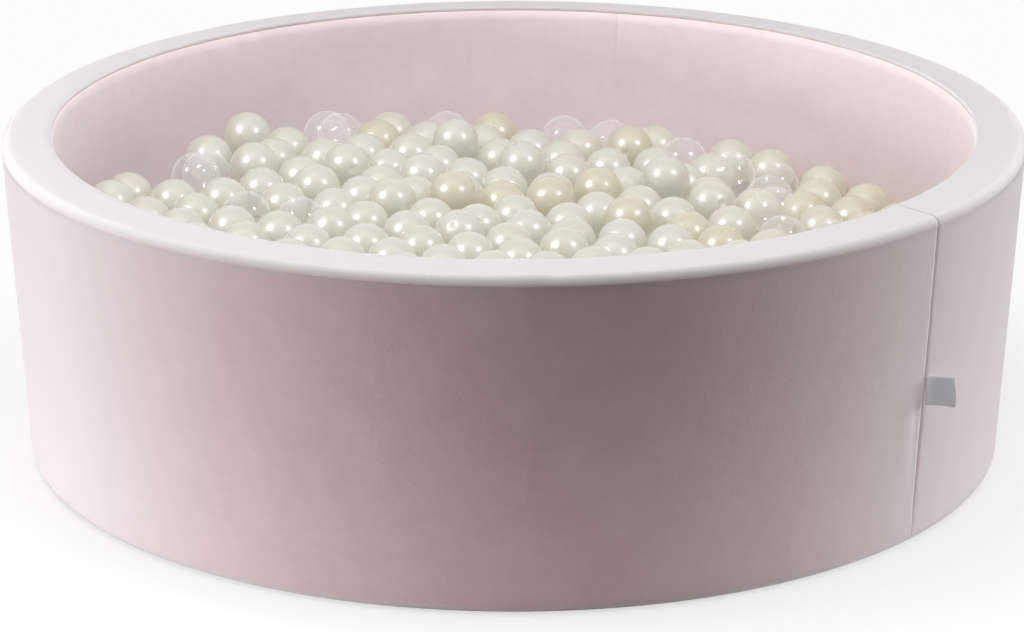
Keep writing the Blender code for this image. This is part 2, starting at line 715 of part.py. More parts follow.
def ball_bed(top, loose):
    """The balls that stay: one solid whose top is its balls' upper sides, with seats for the loose ones."""
    centres = np.concatenate([top, fill_below(np.concatenate([loose, top]))])
    bed_radius = inner_radius(MAT_THICKNESS) - BED_WALL_CLEARANCE
    angles = [2.0 * math.pi * k / RING_SEGMENTS for k in range(RING_SEGMENTS)]
    edge = np.array([(bed_radius * math.cos(a), bed_radius * math.sin(a)) for a in angles])
    plan = np.concatenate([edge, bed_points(top, centres, loose, bed_radius)])
    flat, _, faces, _, _, _ = delaunay_2d_cdt([Vector(p) for p in plan], [], [], 0, GAP)
    heights = bed_height(np.array([tuple(p) for p in flat]), centres, loose)
    shape = bmesh.new()
    upper = [shape.verts.new((p.x, p.y, z)) for p, z in zip(flat, heights)]
    base = MAT_THICKNESS + GAP
    bottom = [shape.verts.new((x, y, base)) for x, y in edge]
    for face in faces:
        shape.faces.new([upper[k] for k in face])
    for k in range(RING_SEGMENTS):
        following = (k + 1) % RING_SEGMENTS
        shape.faces.new((upper[k], bottom[k], bottom[following], upper[following]))
    shape.faces.new(bottom)
    made = add_object("ball_bed", shape, material("bed_pearl", PEARL, 0.25))
    combine(made, "DIFFERENCE", seat_tool(loose))
    return made


def seat_tool(loose):
    """Below each loose ball its seat, and above it the way that it lifts out."""
    shape = bmesh.new()
    seat_radius = BALL_RADIUS + GAP / math.cos(math.pi / BALL_SEGMENTS) ** 2
    for centre in loose:
        ball = bmesh.ops.create_uvsphere(
            shape, u_segments=BALL_SEGMENTS, v_segments=BALL_RINGS, radius=seat_radius
        )["verts"]
        for vert in ball:
            if vert.co.z > GAP:
                across = vert.co.to_2d()
                if across.length > GAP:
                    across = across.normalized() * seat_radius
                vert.co = (*across, vert.co.z + SEAT_RISE)
        bmesh.ops.translate(shape, vec=centre, verts=ball)
    return add_object("seat_tool", shape, material("seat_tool", PEARL, 0.5))


def clear_scene():
    for thing in list(bpy.data.objects):
        bpy.data.objects.remove(thing)


def build_zip(piece_zip, tape_finish, metal):
    tapes = piece_zip.tapes(tape_finish)
    coils = piece_zip.coils(tape_finish)
    stops = piece_zip.stops(metal)
    slider = piece_zip.slider(metal)
    pull = piece_zip.pull(metal)
    carry(slider, [pull])
    return [*tapes, *coils, *stops, slider]


WALL_ZIP = Zip("wall_zip", "outer", "inner", ZIP_RADIUS, ZIP_RECESS_DEPTH, True)
MAT_ZIP = Zip("mat_zip", "upper", "lower", MAT_RADIUS - SKIN_STEP - TAPE_THICKNESS, MAT_THICKNESS / 2, False)


def build():
    clear_scene()
    tape_finish = material("zip_tape", ZIP_PINK, 0.8)
    metal = material("zip_metal", ZIP_METAL, 0.35, 1.0)
    wall = outer_cover_panel()
    carry(wall, [*wall_foam(), inner_cover_panel(), underside_panel(), side_label()])
    carry(wall, build_zip(WALL_ZIP, tape_finish, metal))
    foam, *cover = mat_pieces()
    carry(foam, cover)
    carry(foam, build_zip(MAT_ZIP, tape_finish, metal))
    loose = loose_places()
    fixed = settle_balls(loose)
    bed = ball_bed(fixed, loose)
    carry(bed, loose_balls(loose))
    tell_record_values(loose, fixed)


def tell_record_values(loose, fixed):
    """Print the range of the sliders, the pins of the pulls and the top of the pile for the record."""
    highest = max(loose[:, 2].max(), fixed[:, 2].max()) + BALL_RADIUS
    print("highest ball top", round(float(highest), 4), "balls in the bed's top", len(fixed))
    for piece_zip in (WALL_ZIP, MAT_ZIP):
        run = ZIP_SWEEP - 2 * angle_of(SLIDER_LENGTH / 2 + GAP, piece_zip.radius)
        pin = piece_zip.frame(piece_zip.slider_angle()) @ Vector((0.0, 0.0, piece_zip.pin_out))
        print(piece_zip.prefix, "run", round(run, 1), "degrees, pin", [round(value, 5) for value in pin])



build()
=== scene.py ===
# %% [markdown]
# # A round ball pit
# The pit is a padded ring that stands on the floor, with a soft mat in it and a pile of pearly play balls.
# The CAD model already has every piece at its real size. This script dresses it: each cell makes one piece
# or one finish, and says why it is made that way. The first cell loads the CAD model as a fixed frame.

# %% Load the frame
import math

import bmesh
import bpy
import numpy as np
from mathutils import Matrix, Vector, noise


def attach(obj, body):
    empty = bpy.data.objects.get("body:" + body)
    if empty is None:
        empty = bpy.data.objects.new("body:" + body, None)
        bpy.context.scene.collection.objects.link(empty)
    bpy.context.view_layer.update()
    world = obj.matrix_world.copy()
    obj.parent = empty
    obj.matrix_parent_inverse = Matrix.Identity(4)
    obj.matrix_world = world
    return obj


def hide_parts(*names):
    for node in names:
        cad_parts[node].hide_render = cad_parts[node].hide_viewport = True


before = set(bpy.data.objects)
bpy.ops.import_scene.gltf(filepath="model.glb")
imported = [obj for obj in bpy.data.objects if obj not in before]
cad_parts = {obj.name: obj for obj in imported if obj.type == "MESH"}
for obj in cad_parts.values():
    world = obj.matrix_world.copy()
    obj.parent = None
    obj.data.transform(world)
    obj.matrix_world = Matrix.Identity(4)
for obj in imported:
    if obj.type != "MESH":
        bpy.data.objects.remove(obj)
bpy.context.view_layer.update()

# %% [markdown]
# ## The camera
# The photograph looks down at the pit by about 18 degrees from 4.6 metres away with a long lens, which
# keeps the ring's ellipse regular. A focal length in pixels turns into a lens length by the sensor's width.

# %% The photograph's camera
PHOTO_WIDTH = 1024
FOCAL_PIXELS = 4000.0
SENSOR_WIDTH = 36.0
CAMERA_PLACE = (0.0, -4.6147, 1.6865)
CAMERA_DIP = 0.3218
CAMERA_SIDE_PIXELS = 1.7

camera_data = bpy.data.cameras.new("photo_camera")
camera_data.sensor_width = SENSOR_WIDTH
camera_data.lens = SENSOR_WIDTH * FOCAL_PIXELS / PHOTO_WIDTH
camera_data.shift_x = -CAMERA_SIDE_PIXELS / PHOTO_WIDTH
camera = bpy.data.objects.new("photo_camera", camera_data)
camera.location = CAMERA_PLACE
camera.rotation_euler = (math.pi / 2 - CAMERA_DIP, 0.0, 0.0)
bpy.context.scene.collection.objects.link(camera)
bpy.context.scene.camera = camera
bpy.context.scene.view_settings.view_transform = "Standard"
print("lens", round(camera_data.lens, 2), "mm")

# %% [markdown]
# ## The studio
# In the photograph the sides of the wall are bright, its front is in soft shade, and its foot is lighter
# than its top. So two long, low soft boxes stand left and right, and a large one hangs above. Two small
# ones, high at the left and the right, make the two highlights that each ball shows, and add nothing to
# matt surfaces. None of the boxes is seen by the camera.

# %% Soft boxes
AIM_HEIGHT = 0.2


def soft_box(name, azimuth, distance, height, size, power):
    """An area light that looks at the middle of the pit. Azimuth 0 is the front and 90 the right."""
    turn = math.radians(azimuth)
    data = bpy.data.lights.new(name, "AREA")
    data.shape = "RECTANGLE"
    data.size, data.size_y = size
    data.energy = power
    lamp = bpy.data.objects.new(name, data)
    lamp.location = (math.sin(turn) * distance, -math.cos(turn) * distance, height)
    view = Vector((0.0, 0.0, AIM_HEIGHT)) - lamp.location
    lamp.rotation_euler = view.to_track_quat("-Z", "Y").to_euler()
    lamp.visible_camera = False
    bpy.context.scene.collection.objects.link(lamp)
    return lamp


soft_box("left_side_box", azimuth=-79.5, distance=4.2, height=0.45, size=(2.6, 0.8), power=142.0)
soft_box("right_side_box", azimuth=98.5, distance=4.2, height=0.40, size=(2.4, 0.7), power=106.0)
top_box = soft_box("top_box", azimuth=-20.0, distance=0.50, height=3.0, size=(3.0, 1.2), power=85.0)
top_box.visible_glossy = False
for glint_box in (
    soft_box("left_glint_box", azimuth=-60.0, distance=2.9, height=2.9, size=(1.0, 1.0), power=130.0),
    soft_box("right_glint_box", azimuth=60.0, distance=2.9, height=2.9, size=(0.65, 0.65), power=44.0),
):
    glint_box.visible_diffuse = False
print("soft boxes", [light.name for light in bpy.data.lights])

# %% [markdown]
# ## Helpers for nodes
# The world, the floor and every finish are trees of nodes. Each of these helpers adds one node and returns
# its result, so that a tree reads like a sum. An input takes a number, a colour or another node's result.

# %% Helpers that add one node
def feed(tree, socket, value):
    """Link another node's result to an input, or set the input to a number or a colour."""
    if isinstance(value, bpy.types.NodeSocket):
        tree.links.new(value, socket)
    else:
        socket.default_value = value


def calculate(tree, operation, *values):
    """A Math node."""
    node = tree.nodes.new("ShaderNodeMath")
    node.operation = operation
    for socket, value in zip(node.inputs, values):
        feed(tree, socket, value)
    return node.outputs[0]


def summed(tree, *parts):
    """Add up several results, each given with its share."""
    total = 0.0
    for value, share in parts:
        total = calculate(tree, "MULTIPLY_ADD", value, share, total)
    return total


def mixed(tree, factor, first, second):
    """A colour Mix node. It has each input once per kind of value, so they are found by name and kind."""
    node = tree.nodes.new("ShaderNodeMix")
    node.data_type = "RGBA"
    sockets = {(socket.name, socket.type): socket for socket in node.inputs}
    feed(tree, sockets["Factor", "VALUE"], factor)
    feed(tree, sockets["A", "RGBA"], first)
    feed(tree, sockets["B", "RGBA"], second)
    return next(socket for socket in node.outputs if socket.type == "RGBA")


def noise_at(tree, place, scale, detail=2.0, distortion=0.0):
    """A noise texture's value at a place."""
    node = tree.nodes.new("ShaderNodeTexNoise")
    for title, value in (("Vector", place), ("Scale", scale), ("Detail", detail), ("Distortion", distortion)):
        feed(tree, node.inputs[title], value)
    return node.outputs["Fac"]


def spread(tree, value, low, high, to_low=0.0, to_high=1.0):
    """A Map Range node: low becomes to_low, high becomes to_high, and nothing goes past them."""
    node = tree.nodes.new("ShaderNodeMapRange")
    titles = ("Value", "From Min", "From Max", "To Min", "To Max")
    for title, number in zip(titles, (value, low, high, to_low, to_high)):
        feed(tree, node.inputs[title], number)
    return node.outputs["Result"]

# %% [markdown]
# ## The white room
# The photograph's background is white, but a room as bright as that would light the pit from all sides and
# take its shade away. So the world and the floor are white where they are looked at, and darker for the
# light that they throw on the pit. The floor throws light back only close to the pit, and its own colour
# there keeps the pit's soft shadow. Further out it glows, so that its end can't be seen.

# %% What is looked at, and the world
WHITE = (1.0, 1.0, 1.0, 1.0)
WORLD_GREY = 0.20


def seen_directly(tree):
    """1 for the camera, a reflection or a look through something clear, and 0 for light thrown on the pit."""
    path = tree.nodes.new("ShaderNodeLightPath").outputs
    either = calculate(tree, "MAXIMUM", path["Is Camera Ray"], path["Is Glossy Ray"])
    return calculate(tree, "MAXIMUM", either, path["Is Transmission Ray"])


world = bpy.data.worlds.new("studio_world")
world.use_nodes = True
bpy.context.scene.world = world
backdrop = world.node_tree.nodes["Background"].inputs
backdrop["Color"].default_value = WHITE
world_strength = spread(world.node_tree, seen_directly(world.node_tree), 0.0, 1.0, WORLD_GREY, 1.0)
feed(world.node_tree, backdrop["Strength"], world_strength)
print("the world lights the pit with a strength of", WORLD_GREY)

# %% The floor
FLOOR_SIZE = 60.0
FLOOR_WHITE = 0.98
THROWN_REACH, THROWN_SHARE = (0.74, 1.12), (0.62, 0.06)
GLOW_REACH, GLOW_SHARE = (0.75, 1.25), (0.64, 0.97)

floor_finish = bpy.data.materials.new("studio_floor")
floor_finish.use_nodes = True
floor_tree = floor_finish.node_tree
floor_sockets = floor_tree.nodes["Principled BSDF"].inputs
floor_sockets["Roughness"].default_value = 1.0
floor_sockets["Specular IOR Level"].default_value = 0.0
floor_sockets["Emission Color"].default_value = WHITE
floor_place = floor_tree.nodes.new("ShaderNodeTexCoord").outputs["Object"]
floor_length = floor_tree.nodes.new("ShaderNodeVectorMath")
floor_length.operation = "LENGTH"
feed(floor_tree, floor_length.inputs[0], floor_place)
floor_reach = floor_length.outputs["Value"]
floor_seen = seen_directly(floor_tree)
floor_thrown = spread(floor_tree, floor_reach, *THROWN_REACH, *THROWN_SHARE)
floor_glow = spread(floor_tree, floor_reach, *GLOW_REACH, *GLOW_SHARE)
floor_own = calculate(floor_tree, "SUBTRACT", FLOOR_WHITE, floor_glow)
floor_shown = calculate(floor_tree, "MULTIPLY", floor_glow, floor_seen)
feed(floor_tree, floor_sockets["Base Color"], mixed(floor_tree, floor_seen, floor_thrown, floor_own))
feed(floor_tree, floor_sockets["Emission Strength"], floor_shown)

bpy.ops.object.select_all(action="DESELECT")
bpy.ops.mesh.primitive_plane_add(size=FLOOR_SIZE, location=(0.0, 0.0, 0.0))
floor = bpy.context.active_object
floor.name = "studio_floor"
floor.data.materials.append(floor_finish)
print("floor", tuple(round(side, 1) for side in floor.dimensions))

# %% [markdown]
# ## Shader groups
# A finish that several pieces share is a node group. Each group takes the place on the piece, its colours
# and a scale, and gives back a colour, a roughness and a height for the Bump node. The Principled shader
# itself stays in each material, with its fixed values on its own sockets.

# %% Start and end a group
def new_group(name, values):
    """A shader group that takes a place and these colours and numbers. Returns it with its input sockets."""
    tree = bpy.data.node_groups.new(name, "ShaderNodeTree")
    tree.interface.new_socket("Vector", in_out="INPUT", socket_type="NodeSocketVector")
    for title, value in values.items():
        kind = "NodeSocketColor" if isinstance(value, tuple) else "NodeSocketFloat"
        tree.interface.new_socket(title, in_out="INPUT", socket_type=kind).default_value = value
    for title, kind in (("Color", "Color"), ("Roughness", "Float"), ("Height", "Float")):
        tree.interface.new_socket(title, in_out="OUTPUT", socket_type=f"NodeSocket{kind}")
    return tree, tree.nodes.new("NodeGroupInput").outputs


def give_back(tree, colour, roughness, height):
    """End a group with its three results."""
    ends = tree.nodes.new("NodeGroupOutput").inputs
    for title, result in (("Color", colour), ("Roughness", roughness), ("Height", height)):
        tree.links.new(result, ends[title])
    print("group", tree.name, "has", len(tree.nodes), "nodes")

# %% [markdown]
# Velvet is a short cut pile. Its colour shifts where the pile leans another way, in soft patches of a few
# centimetres, and close up it has a grain of single tufts. Three noises of different size give that. Where
# the rim catches the top light, a third colour is painted in as painted light.

# %% The velvet group
velvet_nap, velvet = new_group(
    "velvet_nap",
    {
        "Pile colour": (0.6, 0.5, 0.5, 1.0),
        "Deep colour": (0.4, 0.3, 0.3, 1.0),
        "Brushed colour": (0.8, 0.77, 0.76, 1.0),
        "Brushed": 0.0,
    },
)
leaning = noise_at(velvet_nap, velvet["Vector"], scale=16.0, detail=3.0, distortion=0.6)
patches = noise_at(velvet_nap, velvet["Vector"], scale=75.0, detail=3.0, distortion=0.4)
tufts = noise_at(velvet_nap, velvet["Vector"], scale=620.0)
shade = spread(velvet_nap, summed(velvet_nap, (leaning, 0.5), (patches, 0.35), (tufts, 0.30)), 0.36, 0.80)
colour = mixed(velvet_nap, shade, velvet["Pile colour"], velvet["Deep colour"])
# Painted light: a paler, greyer colour where the rim catches the top light.
colour = mixed(velvet_nap, velvet["Brushed"], colour, velvet["Brushed colour"])
roughness = spread(velvet_nap, patches, 0.3, 0.7, 0.84, 0.98)
give_back(velvet_nap, colour, roughness, summed(velvet_nap, (patches, 0.45), (tufts, 0.55)))

# %% [markdown]
# Tapes, lining and the label are woven. On these pieces a UV map in metres follows the cloth, so two sine
# waves cross as warp and weft, and their product decides which thread lies on top.

# %% The weave group
woven_threads, weave = new_group(
    "woven_threads",
    {
        "Thread colour": (0.6, 0.5, 0.5, 1.0),
        "Gap colour": (0.4, 0.3, 0.3, 1.0),
        "Threads per metre": 1400.0,
    },
)
axes = woven_threads.nodes.new("ShaderNodeSeparateXYZ")
feed(woven_threads, axes.inputs[0], weave["Vector"])
half_turns = calculate(woven_threads, "MULTIPLY", weave["Threads per metre"], math.pi)
along, across = (
    calculate(woven_threads, "SINE", calculate(woven_threads, "MULTIPLY", axes.outputs[axis], half_turns))
    for axis in ("X", "Y")
)
weft, warp = (calculate(woven_threads, "ABSOLUTE", wave) for wave in (along, across))
over = calculate(woven_threads, "MULTIPLY", along, across)
round_threads = calculate(woven_threads, "MULTIPLY", weft, warp)
fuzz = noise_at(woven_threads, weave["Vector"], scale=260.0, detail=3.0)
lifted = summed(woven_threads, (over, 0.5), (round_threads, 1.0), (fuzz, 0.5))
level = spread(woven_threads, lifted, -0.2, 1.1)
colour = mixed(woven_threads, level, weave["Gap colour"], weave["Thread colour"])
give_back(woven_threads, colour, spread(woven_threads, fuzz, 0.3, 0.7, 0.65, 0.9), level)

# %% [markdown]
# Foam is a mass of open cells. A Voronoi texture has just that look when its cells are about a millimetre.

# %% The foam group
foam_cells, foam = new_group(
    "foam_cells",
    {
        "Foam colour": (0.8, 0.8, 0.7, 1.0),
        "Cell colour": (0.6, 0.6, 0.5, 1.0),
        "Cells per metre": 700.0,
    },
)
cells = foam_cells.nodes.new("ShaderNodeTexVoronoi")
feed(foam_cells, cells.inputs["Vector"], foam["Vector"])
feed(foam_cells, cells.inputs["Scale"], foam["Cells per metre"])
hollow = cells.outputs["Distance"]
ageing = noise_at(foam_cells, foam["Vector"], scale=9.0, detail=3.0)
depth = spread(foam_cells, summed(foam_cells, (ageing, 0.5), (hollow, 1.0)), 0.3, 1.2)
colour = mixed(foam_cells, depth, foam["Foam colour"], foam["Cell colour"])
roughness = spread(foam_cells, ageing, 0.3, 0.7, 0.9, 1.0)
give_back(foam_cells, colour, roughness, calculate(foam_cells, "SUBTRACT", 1.0, hollow))

# %% [markdown]
# A blown ball is never one plain colour. The pearl pigment swirls where the plastic flowed in the mould,
# and each ball is a little whiter or creamier than the next, which an attribute on its mesh says. The same
# group gives the nylon of the zips its two close shades.

# %% The plastic group
ball_skin, skin = new_group(
    "ball_skin",
    {
        "White": (0.8, 0.8, 0.8, 1.0),
        "Cream": (0.7, 0.65, 0.5, 1.0),
        "Tint": 0.5,
        "Least roughness": 0.2,
    },
)
swirl = noise_at(ball_skin, skin["Vector"], scale=14.0, distortion=1.2)
flow = noise_at(ball_skin, skin["Vector"], scale=150.0, distortion=0.8)
creaminess = calculate(ball_skin, "ADD", skin["Tint"], spread(ball_skin, swirl, 0.3, 0.7, -0.12, 0.12))
colour = mixed(ball_skin, creaminess, skin["White"], skin["Cream"])
give_back(ball_skin, colour, summed(ball_skin, (flow, 0.08), (skin["Least roughness"], 1.0)), flow)

# %% [markdown]
# Zip metal is plated, then rubbed: fine scratches change its gloss, and dull spots its colour.

# %% The metal group
rubbed_metal, metal = new_group(
    "rubbed_metal",
    {
        "Plate colour": (0.6, 0.6, 0.6, 1.0),
        "Dull colour": (0.4, 0.4, 0.4, 1.0),
    },
)
scratches = noise_at(rubbed_metal, metal["Vector"], scale=2200.0, detail=3.0, distortion=0.4)
spots = spread(rubbed_metal, noise_at(rubbed_metal, metal["Vector"], scale=420.0, detail=3.0), 0.45, 0.75)
colour = mixed(rubbed_metal, spots, metal["Plate colour"], metal["Dull colour"])
give_back(rubbed_metal, colour, spread(rubbed_metal, scratches, 0.3, 0.7, 0.22, 0.45), scratches)

# %% [markdown]
# ## The finishes
# A finish is a Principled material that one group feeds. The group's height goes through a Bump node, whose
# strength and distance say how deep the finish is. What doesn't change over a piece stays on the shader.

# %% Make a material from a group
def finish_from(name, group, coordinates, bump, values, **fixed):
    """A material: one group feeds colour, roughness and bump. A value in quotes names an attribute."""
    made = bpy.data.materials.new(name)
    made.use_nodes = True
    tree = made.node_tree
    shader = tree.nodes["Principled BSDF"]
    texture = tree.nodes.new("ShaderNodeGroup")
    texture.node_tree = group
    tree.links.new(tree.nodes.new("ShaderNodeTexCoord").outputs[coordinates], texture.inputs["Vector"])
    for title, value in values.items():
        if isinstance(value, str):
            attribute = tree.nodes.new("ShaderNodeAttribute")
            attribute.attribute_name = value
            value = attribute.outputs["Fac"]
        elif isinstance(value, tuple):
            value = (*value, 1.0)
        feed(tree, texture.inputs[title], value)
    relief = tree.nodes.new("ShaderNodeBump")
    relief.inputs["Strength"].default_value, relief.inputs["Distance"].default_value = bump
    tree.links.new(texture.outputs["Color"], shader.inputs["Base Color"])
    tree.links.new(texture.outputs["Roughness"], shader.inputs["Roughness"])
    tree.links.new(texture.outputs["Height"], relief.inputs["Height"])
    tree.links.new(relief.outputs["Normal"], shader.inputs["Normal"])
    for title, value in fixed.items():
        shader.inputs[title.replace("_", " ")].default_value = value
    print("finish", name, "from", group.name)
    return made


def seen_from_the_side(tree, low, high, at_low, at_high):
    """How far a surface is seen from the side, spread from one value to another."""
    view = tree.nodes.new("ShaderNodeLayerWeight")
    view.inputs["Blend"].default_value = 0.5
    return spread(tree, view.outputs["Facing"], low, high, at_low, at_high)

# %% [markdown]
# The cover and the lining are one pink velvet. The lining's lighter colour is partly its pile, brushed the
# other way, and partly painted light for the bright inside of the pit. On the rim, painted light: a greyer
# colour that looks nearly white under the top light. Where the cover is seen from the side, its colour is
# painted paler: a painted sheen of the pale tips of its pile. A little sheen lights the fuzz of both.

# %% Velvets
def painted_edge_sheen(material, painted_sheen_colour, low, high, most):
    """Paint the colour paler where velvet is seen from the side: a painted sheen of the pale tips of its
    pile.
    """
    tree = material.node_tree
    base = tree.nodes["Principled BSDF"].inputs["Base Color"]
    share = seen_from_the_side(tree, low, high, 0.0, most)
    tree.links.new(mixed(tree, share, base.links[0].from_socket, painted_sheen_colour), base)


# On the rim the cover's colour is painted light: a greyer colour for the top light.
outer_velvet = finish_from(
    "outer_velvet", velvet_nap, "Object", (0.35, 0.0015),
    {
        "Pile colour": (0.74, 0.52, 0.55),
        "Deep colour": (0.65, 0.44, 0.47),
        "Brushed colour": (0.47, 0.45, 0.445),
        "Brushed": "painted_rim_light",
    },
    Sheen_Weight=0.6, Sheen_Roughness=0.40, Specular_IOR_Level=0.15,
)
# Painted sheen: the cover's colour turns paler where it is seen from the side.
painted_edge_sheen(outer_velvet, (0.71, 0.67, 0.69, 1.0), low=0.02, high=0.60, most=0.9)
# The lining's lighter colours are partly painted light for the bright inside of the pit.
inner_velvet = finish_from(
    "inner_velvet", velvet_nap, "Object", (0.30, 0.0012),
    {"Pile colour": (0.88, 0.76, 0.79), "Deep colour": (0.82, 0.685, 0.715), "Brushed": 0.0},
    Sheen_Weight=0.35, Sheen_Roughness=0.5, Specular_IOR_Level=0.15,
)

# %% [markdown]
# The underside is a plain grey lining, the zip tapes are dyed like the velvet, and the label is a shiny
# ribbon with very fine threads. They differ in their colours and in how many threads lie in a metre.

# %% Woven cloths
lining_cloth = finish_from(
    "lining_cloth", woven_threads, "UV", (0.4, 0.0004),
    {"Thread colour": (0.66, 0.62, 0.60), "Gap colour": (0.48, 0.44, 0.43), "Threads per metre": 1500.0},
    Sheen_Weight=0.15, Specular_IOR_Level=0.2,
)
tape_cloth = finish_from(
    "tape_cloth", woven_threads, "UV", (0.5, 0.0003),
    {"Thread colour": (0.66, 0.50, 0.53), "Gap colour": (0.46, 0.32, 0.35), "Threads per metre": 2200.0},
    Sheen_Weight=0.15, Specular_IOR_Level=0.2,
)
ribbon_satin = finish_from(
    "ribbon_satin", woven_threads, "UV", (0.25, 0.0002),
    {"Thread colour": (0.95, 0.94, 0.97), "Gap colour": (0.84, 0.84, 0.88), "Threads per metre": 2600.0},
    Sheen_Weight=0.3, Specular_IOR_Level=0.4,
)

# %% [markdown]
# The foam, the zips' nylon and the zips' plated metal are seen only where the pit is taken apart or turned
# over, but each has its own finish.

# %% Foam, nylon and plated metal
foam_block = finish_from(
    "foam_block", foam_cells, "Object", (0.7, 0.0008),
    {"Foam colour": (0.83, 0.80, 0.70), "Cell colour": (0.66, 0.61, 0.50), "Cells per metre": 650.0},
    Specular_IOR_Level=0.1,
)
zip_plastic = finish_from(
    "zip_plastic", ball_skin, "Object", (0.05, 0.0005),
    {"White": (0.66, 0.49, 0.52), "Cream": (0.56, 0.40, 0.43), "Tint": 0.4, "Least roughness": 0.3},
    Specular_IOR_Level=0.5,
)
zip_plate = finish_from(
    "zip_plate", rubbed_metal, "Object", (0.1, 0.0002),
    {"Plate colour": (0.66, 0.66, 0.67), "Dull colour": (0.44, 0.43, 0.42)},
    Metallic=1.0,
)

# %% [markdown]
# A pearl ball is a milky shell under a clear gloss, so it gets a coat over a duller body. A clear ball is a
# thin wall: we look through its middle and along the wall at its rim, which an Alpha that grows towards the
# rim gives at no cost in time. Light also passes from ball to ball through the thin walls. A faint glow in
# the ball's own colour stands in for it, so that the gaps in the pile don't turn black.

# %% Ball plastics
def see_through(material, middle, rim):
    """Let us look through the middle of a ball more than through its rim."""
    tree = material.node_tree
    alpha = tree.nodes["Principled BSDF"].inputs["Alpha"]
    tree.links.new(seen_from_the_side(tree, low=0.45, high=1.0, at_low=middle, at_high=rim), alpha)


def painted_glow(material, strength):
    """Glow faintly in the base colour: a painted glow that stands in for light passing through the ball."""
    sockets = material.node_tree.nodes["Principled BSDF"].inputs
    material.node_tree.links.new(sockets["Base Color"].links[0].from_socket, sockets["Emission Color"])
    sockets["Emission Strength"].default_value = strength


pearl_plastic = finish_from(
    "pearl_plastic", ball_skin, "Object", (0.02, 0.00005),
    {
        "White": (0.365, 0.365, 0.325),
        "Cream": (0.350, 0.320, 0.235),
        "Tint": "ball_tint",
        "Least roughness": 0.32,
    },
    Coat_Weight=1.0, Coat_Roughness=0.20, Specular_IOR_Level=1.0,
)
clear_plastic = finish_from(
    "clear_plastic", ball_skin, "Object", (0.01, 0.00005),
    {
        "White": (0.62, 0.62, 0.62),
        "Cream": (0.60, 0.59, 0.57),
        "Tint": "ball_tint",
        "Least roughness": 0.05,
    },
    Coat_Weight=1.0, Coat_Roughness=0.03, Specular_IOR_Level=1.0, IOR=1.8,
)
see_through(clear_plastic, middle=0.15, rim=0.66)
# Painted glow: both ball plastics give off light in their own colour.
painted_glow(pearl_plastic, 0.66)
painted_glow(clear_plastic, 0.45)

# %% [markdown]
# ## Modelling helpers
# Operators act on whatever is selected, and loading the frame leaves the CAD nodes selected. So every piece
# starts by leaving edit mode and selecting nothing. A finished piece is then fastened to the frame: it is
# told which body it moves with and which CAD nodes it stands for.

# %% Start, name and finish a piece
MERGE = 0.00002


def begin():
    """Leave edit mode and deselect everything."""
    if bpy.context.mode != "OBJECT":
        bpy.ops.object.mode_set(mode="OBJECT")
    bpy.ops.object.select_all(action="DESELECT")


def pick(piece):
    """Make one piece the active and only selected one."""
    begin()
    piece.select_set(True)
    bpy.context.view_layer.objects.active = piece


def named(name):
    """Name the piece that was just added."""
    piece = bpy.context.active_object
    piece.name = name
    piece.data.name = name
    return piece


def open_whole(piece):
    """Open the piece in edit mode with all of it selected."""
    pick(piece)
    bpy.ops.object.mode_set(mode="EDIT")
    bpy.ops.mesh.select_all(action="SELECT")


def modified(piece, kind, **settings):
    """Add a modifier with these settings and apply it."""
    pick(piece)
    step = piece.modifiers.new(kind.lower(), kind)
    for title, value in settings.items():
        setattr(step, title, value)
    bpy.ops.object.modifier_apply(modifier=step.name)


def tidy(piece, finish, smooth=40.0, merge=MERGE):
    """Merge doubles, turn the faces outwards, smooth the shading and put on the finish."""
    open_whole(piece)
    bpy.ops.mesh.remove_doubles(threshold=merge)
    bpy.ops.mesh.normals_make_consistent(inside=False)
    bpy.ops.object.mode_set(mode="OBJECT")
    bpy.ops.object.shade_smooth_by_angle(angle=math.radians(smooth))
    piece.data.materials.clear()
    piece.data.materials.append(finish)
    return piece


def choose(piece, test):
    """In edit mode, select the points whose place passes the test, and the edges and faces between them."""
    bpy.ops.mesh.select_mode(type="VERT")
    bpy.ops.mesh.select_all(action="DESELECT")
    shape = bmesh.from_edit_mesh(piece.data)
    for vert in shape.verts:
        vert.select_set(bool(test(vert.co)))
    shape.select_flush(True)
    bmesh.update_edit_mesh(piece.data)


def on_body(piece, body, slot, *nodes):
    """The piece moves with the body and stands for these nodes. The slot is not used."""
    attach(piece, body)
    if nodes:
        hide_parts(*nodes)
    return piece

# %% [markdown]
# Most of the cover is a profile carried round the middle. The profile is drawn as by hand: a plane is
# merged to one point, the point is extruded from place to place, and the line is spun round Z. Spinning in
# stages gives short steps beside a seam, where the cloth puckers, and long steps elsewhere.

# %% Draw a profile and spin it
def drawn_line(name, points):
    """A line through points in space. It stays in edit mode, selected."""
    begin()
    bpy.ops.mesh.primitive_plane_add(size=0.01, location=points[0])
    piece = named(name)
    bpy.ops.object.transform_apply(location=True, rotation=True, scale=True)
    bpy.ops.object.mode_set(mode="EDIT")
    bpy.ops.mesh.select_mode(type="VERT")
    bpy.ops.mesh.select_all(action="SELECT")
    bpy.ops.mesh.merge(type="CENTER")
    for near, far in zip(points, points[1:]):
        bpy.ops.mesh.extrude_vertices_move(TRANSFORM_OT_translate={"value": Vector(far) - Vector(near)})
    bpy.ops.mesh.select_all(action="SELECT")
    return piece


def drawn_profile(name, points, angle):
    """A line through (radius, height) points, in the upright plane at an angle."""
    turn = math.radians(angle)
    return drawn_line(name, [(r * math.cos(turn), r * math.sin(turn), z) for r, z in points])


def spun(stages):
    """Spin the selected line about Z through (degrees, steps) stages, anticlockwise seen from above."""
    for sweep, steps in stages:
        bpy.ops.mesh.spin(
            steps=steps, angle=-math.radians(sweep), center=(0.0, 0.0, 0.0), axis=(0.0, 0.0, 1.0)
        )

# %% [markdown]
# The wall leans in towards the floor, so its radius depends on the height. The same few sizes that the CAD
# model has give the rim's round edge, the rounded foot and the recess under it for the zip.

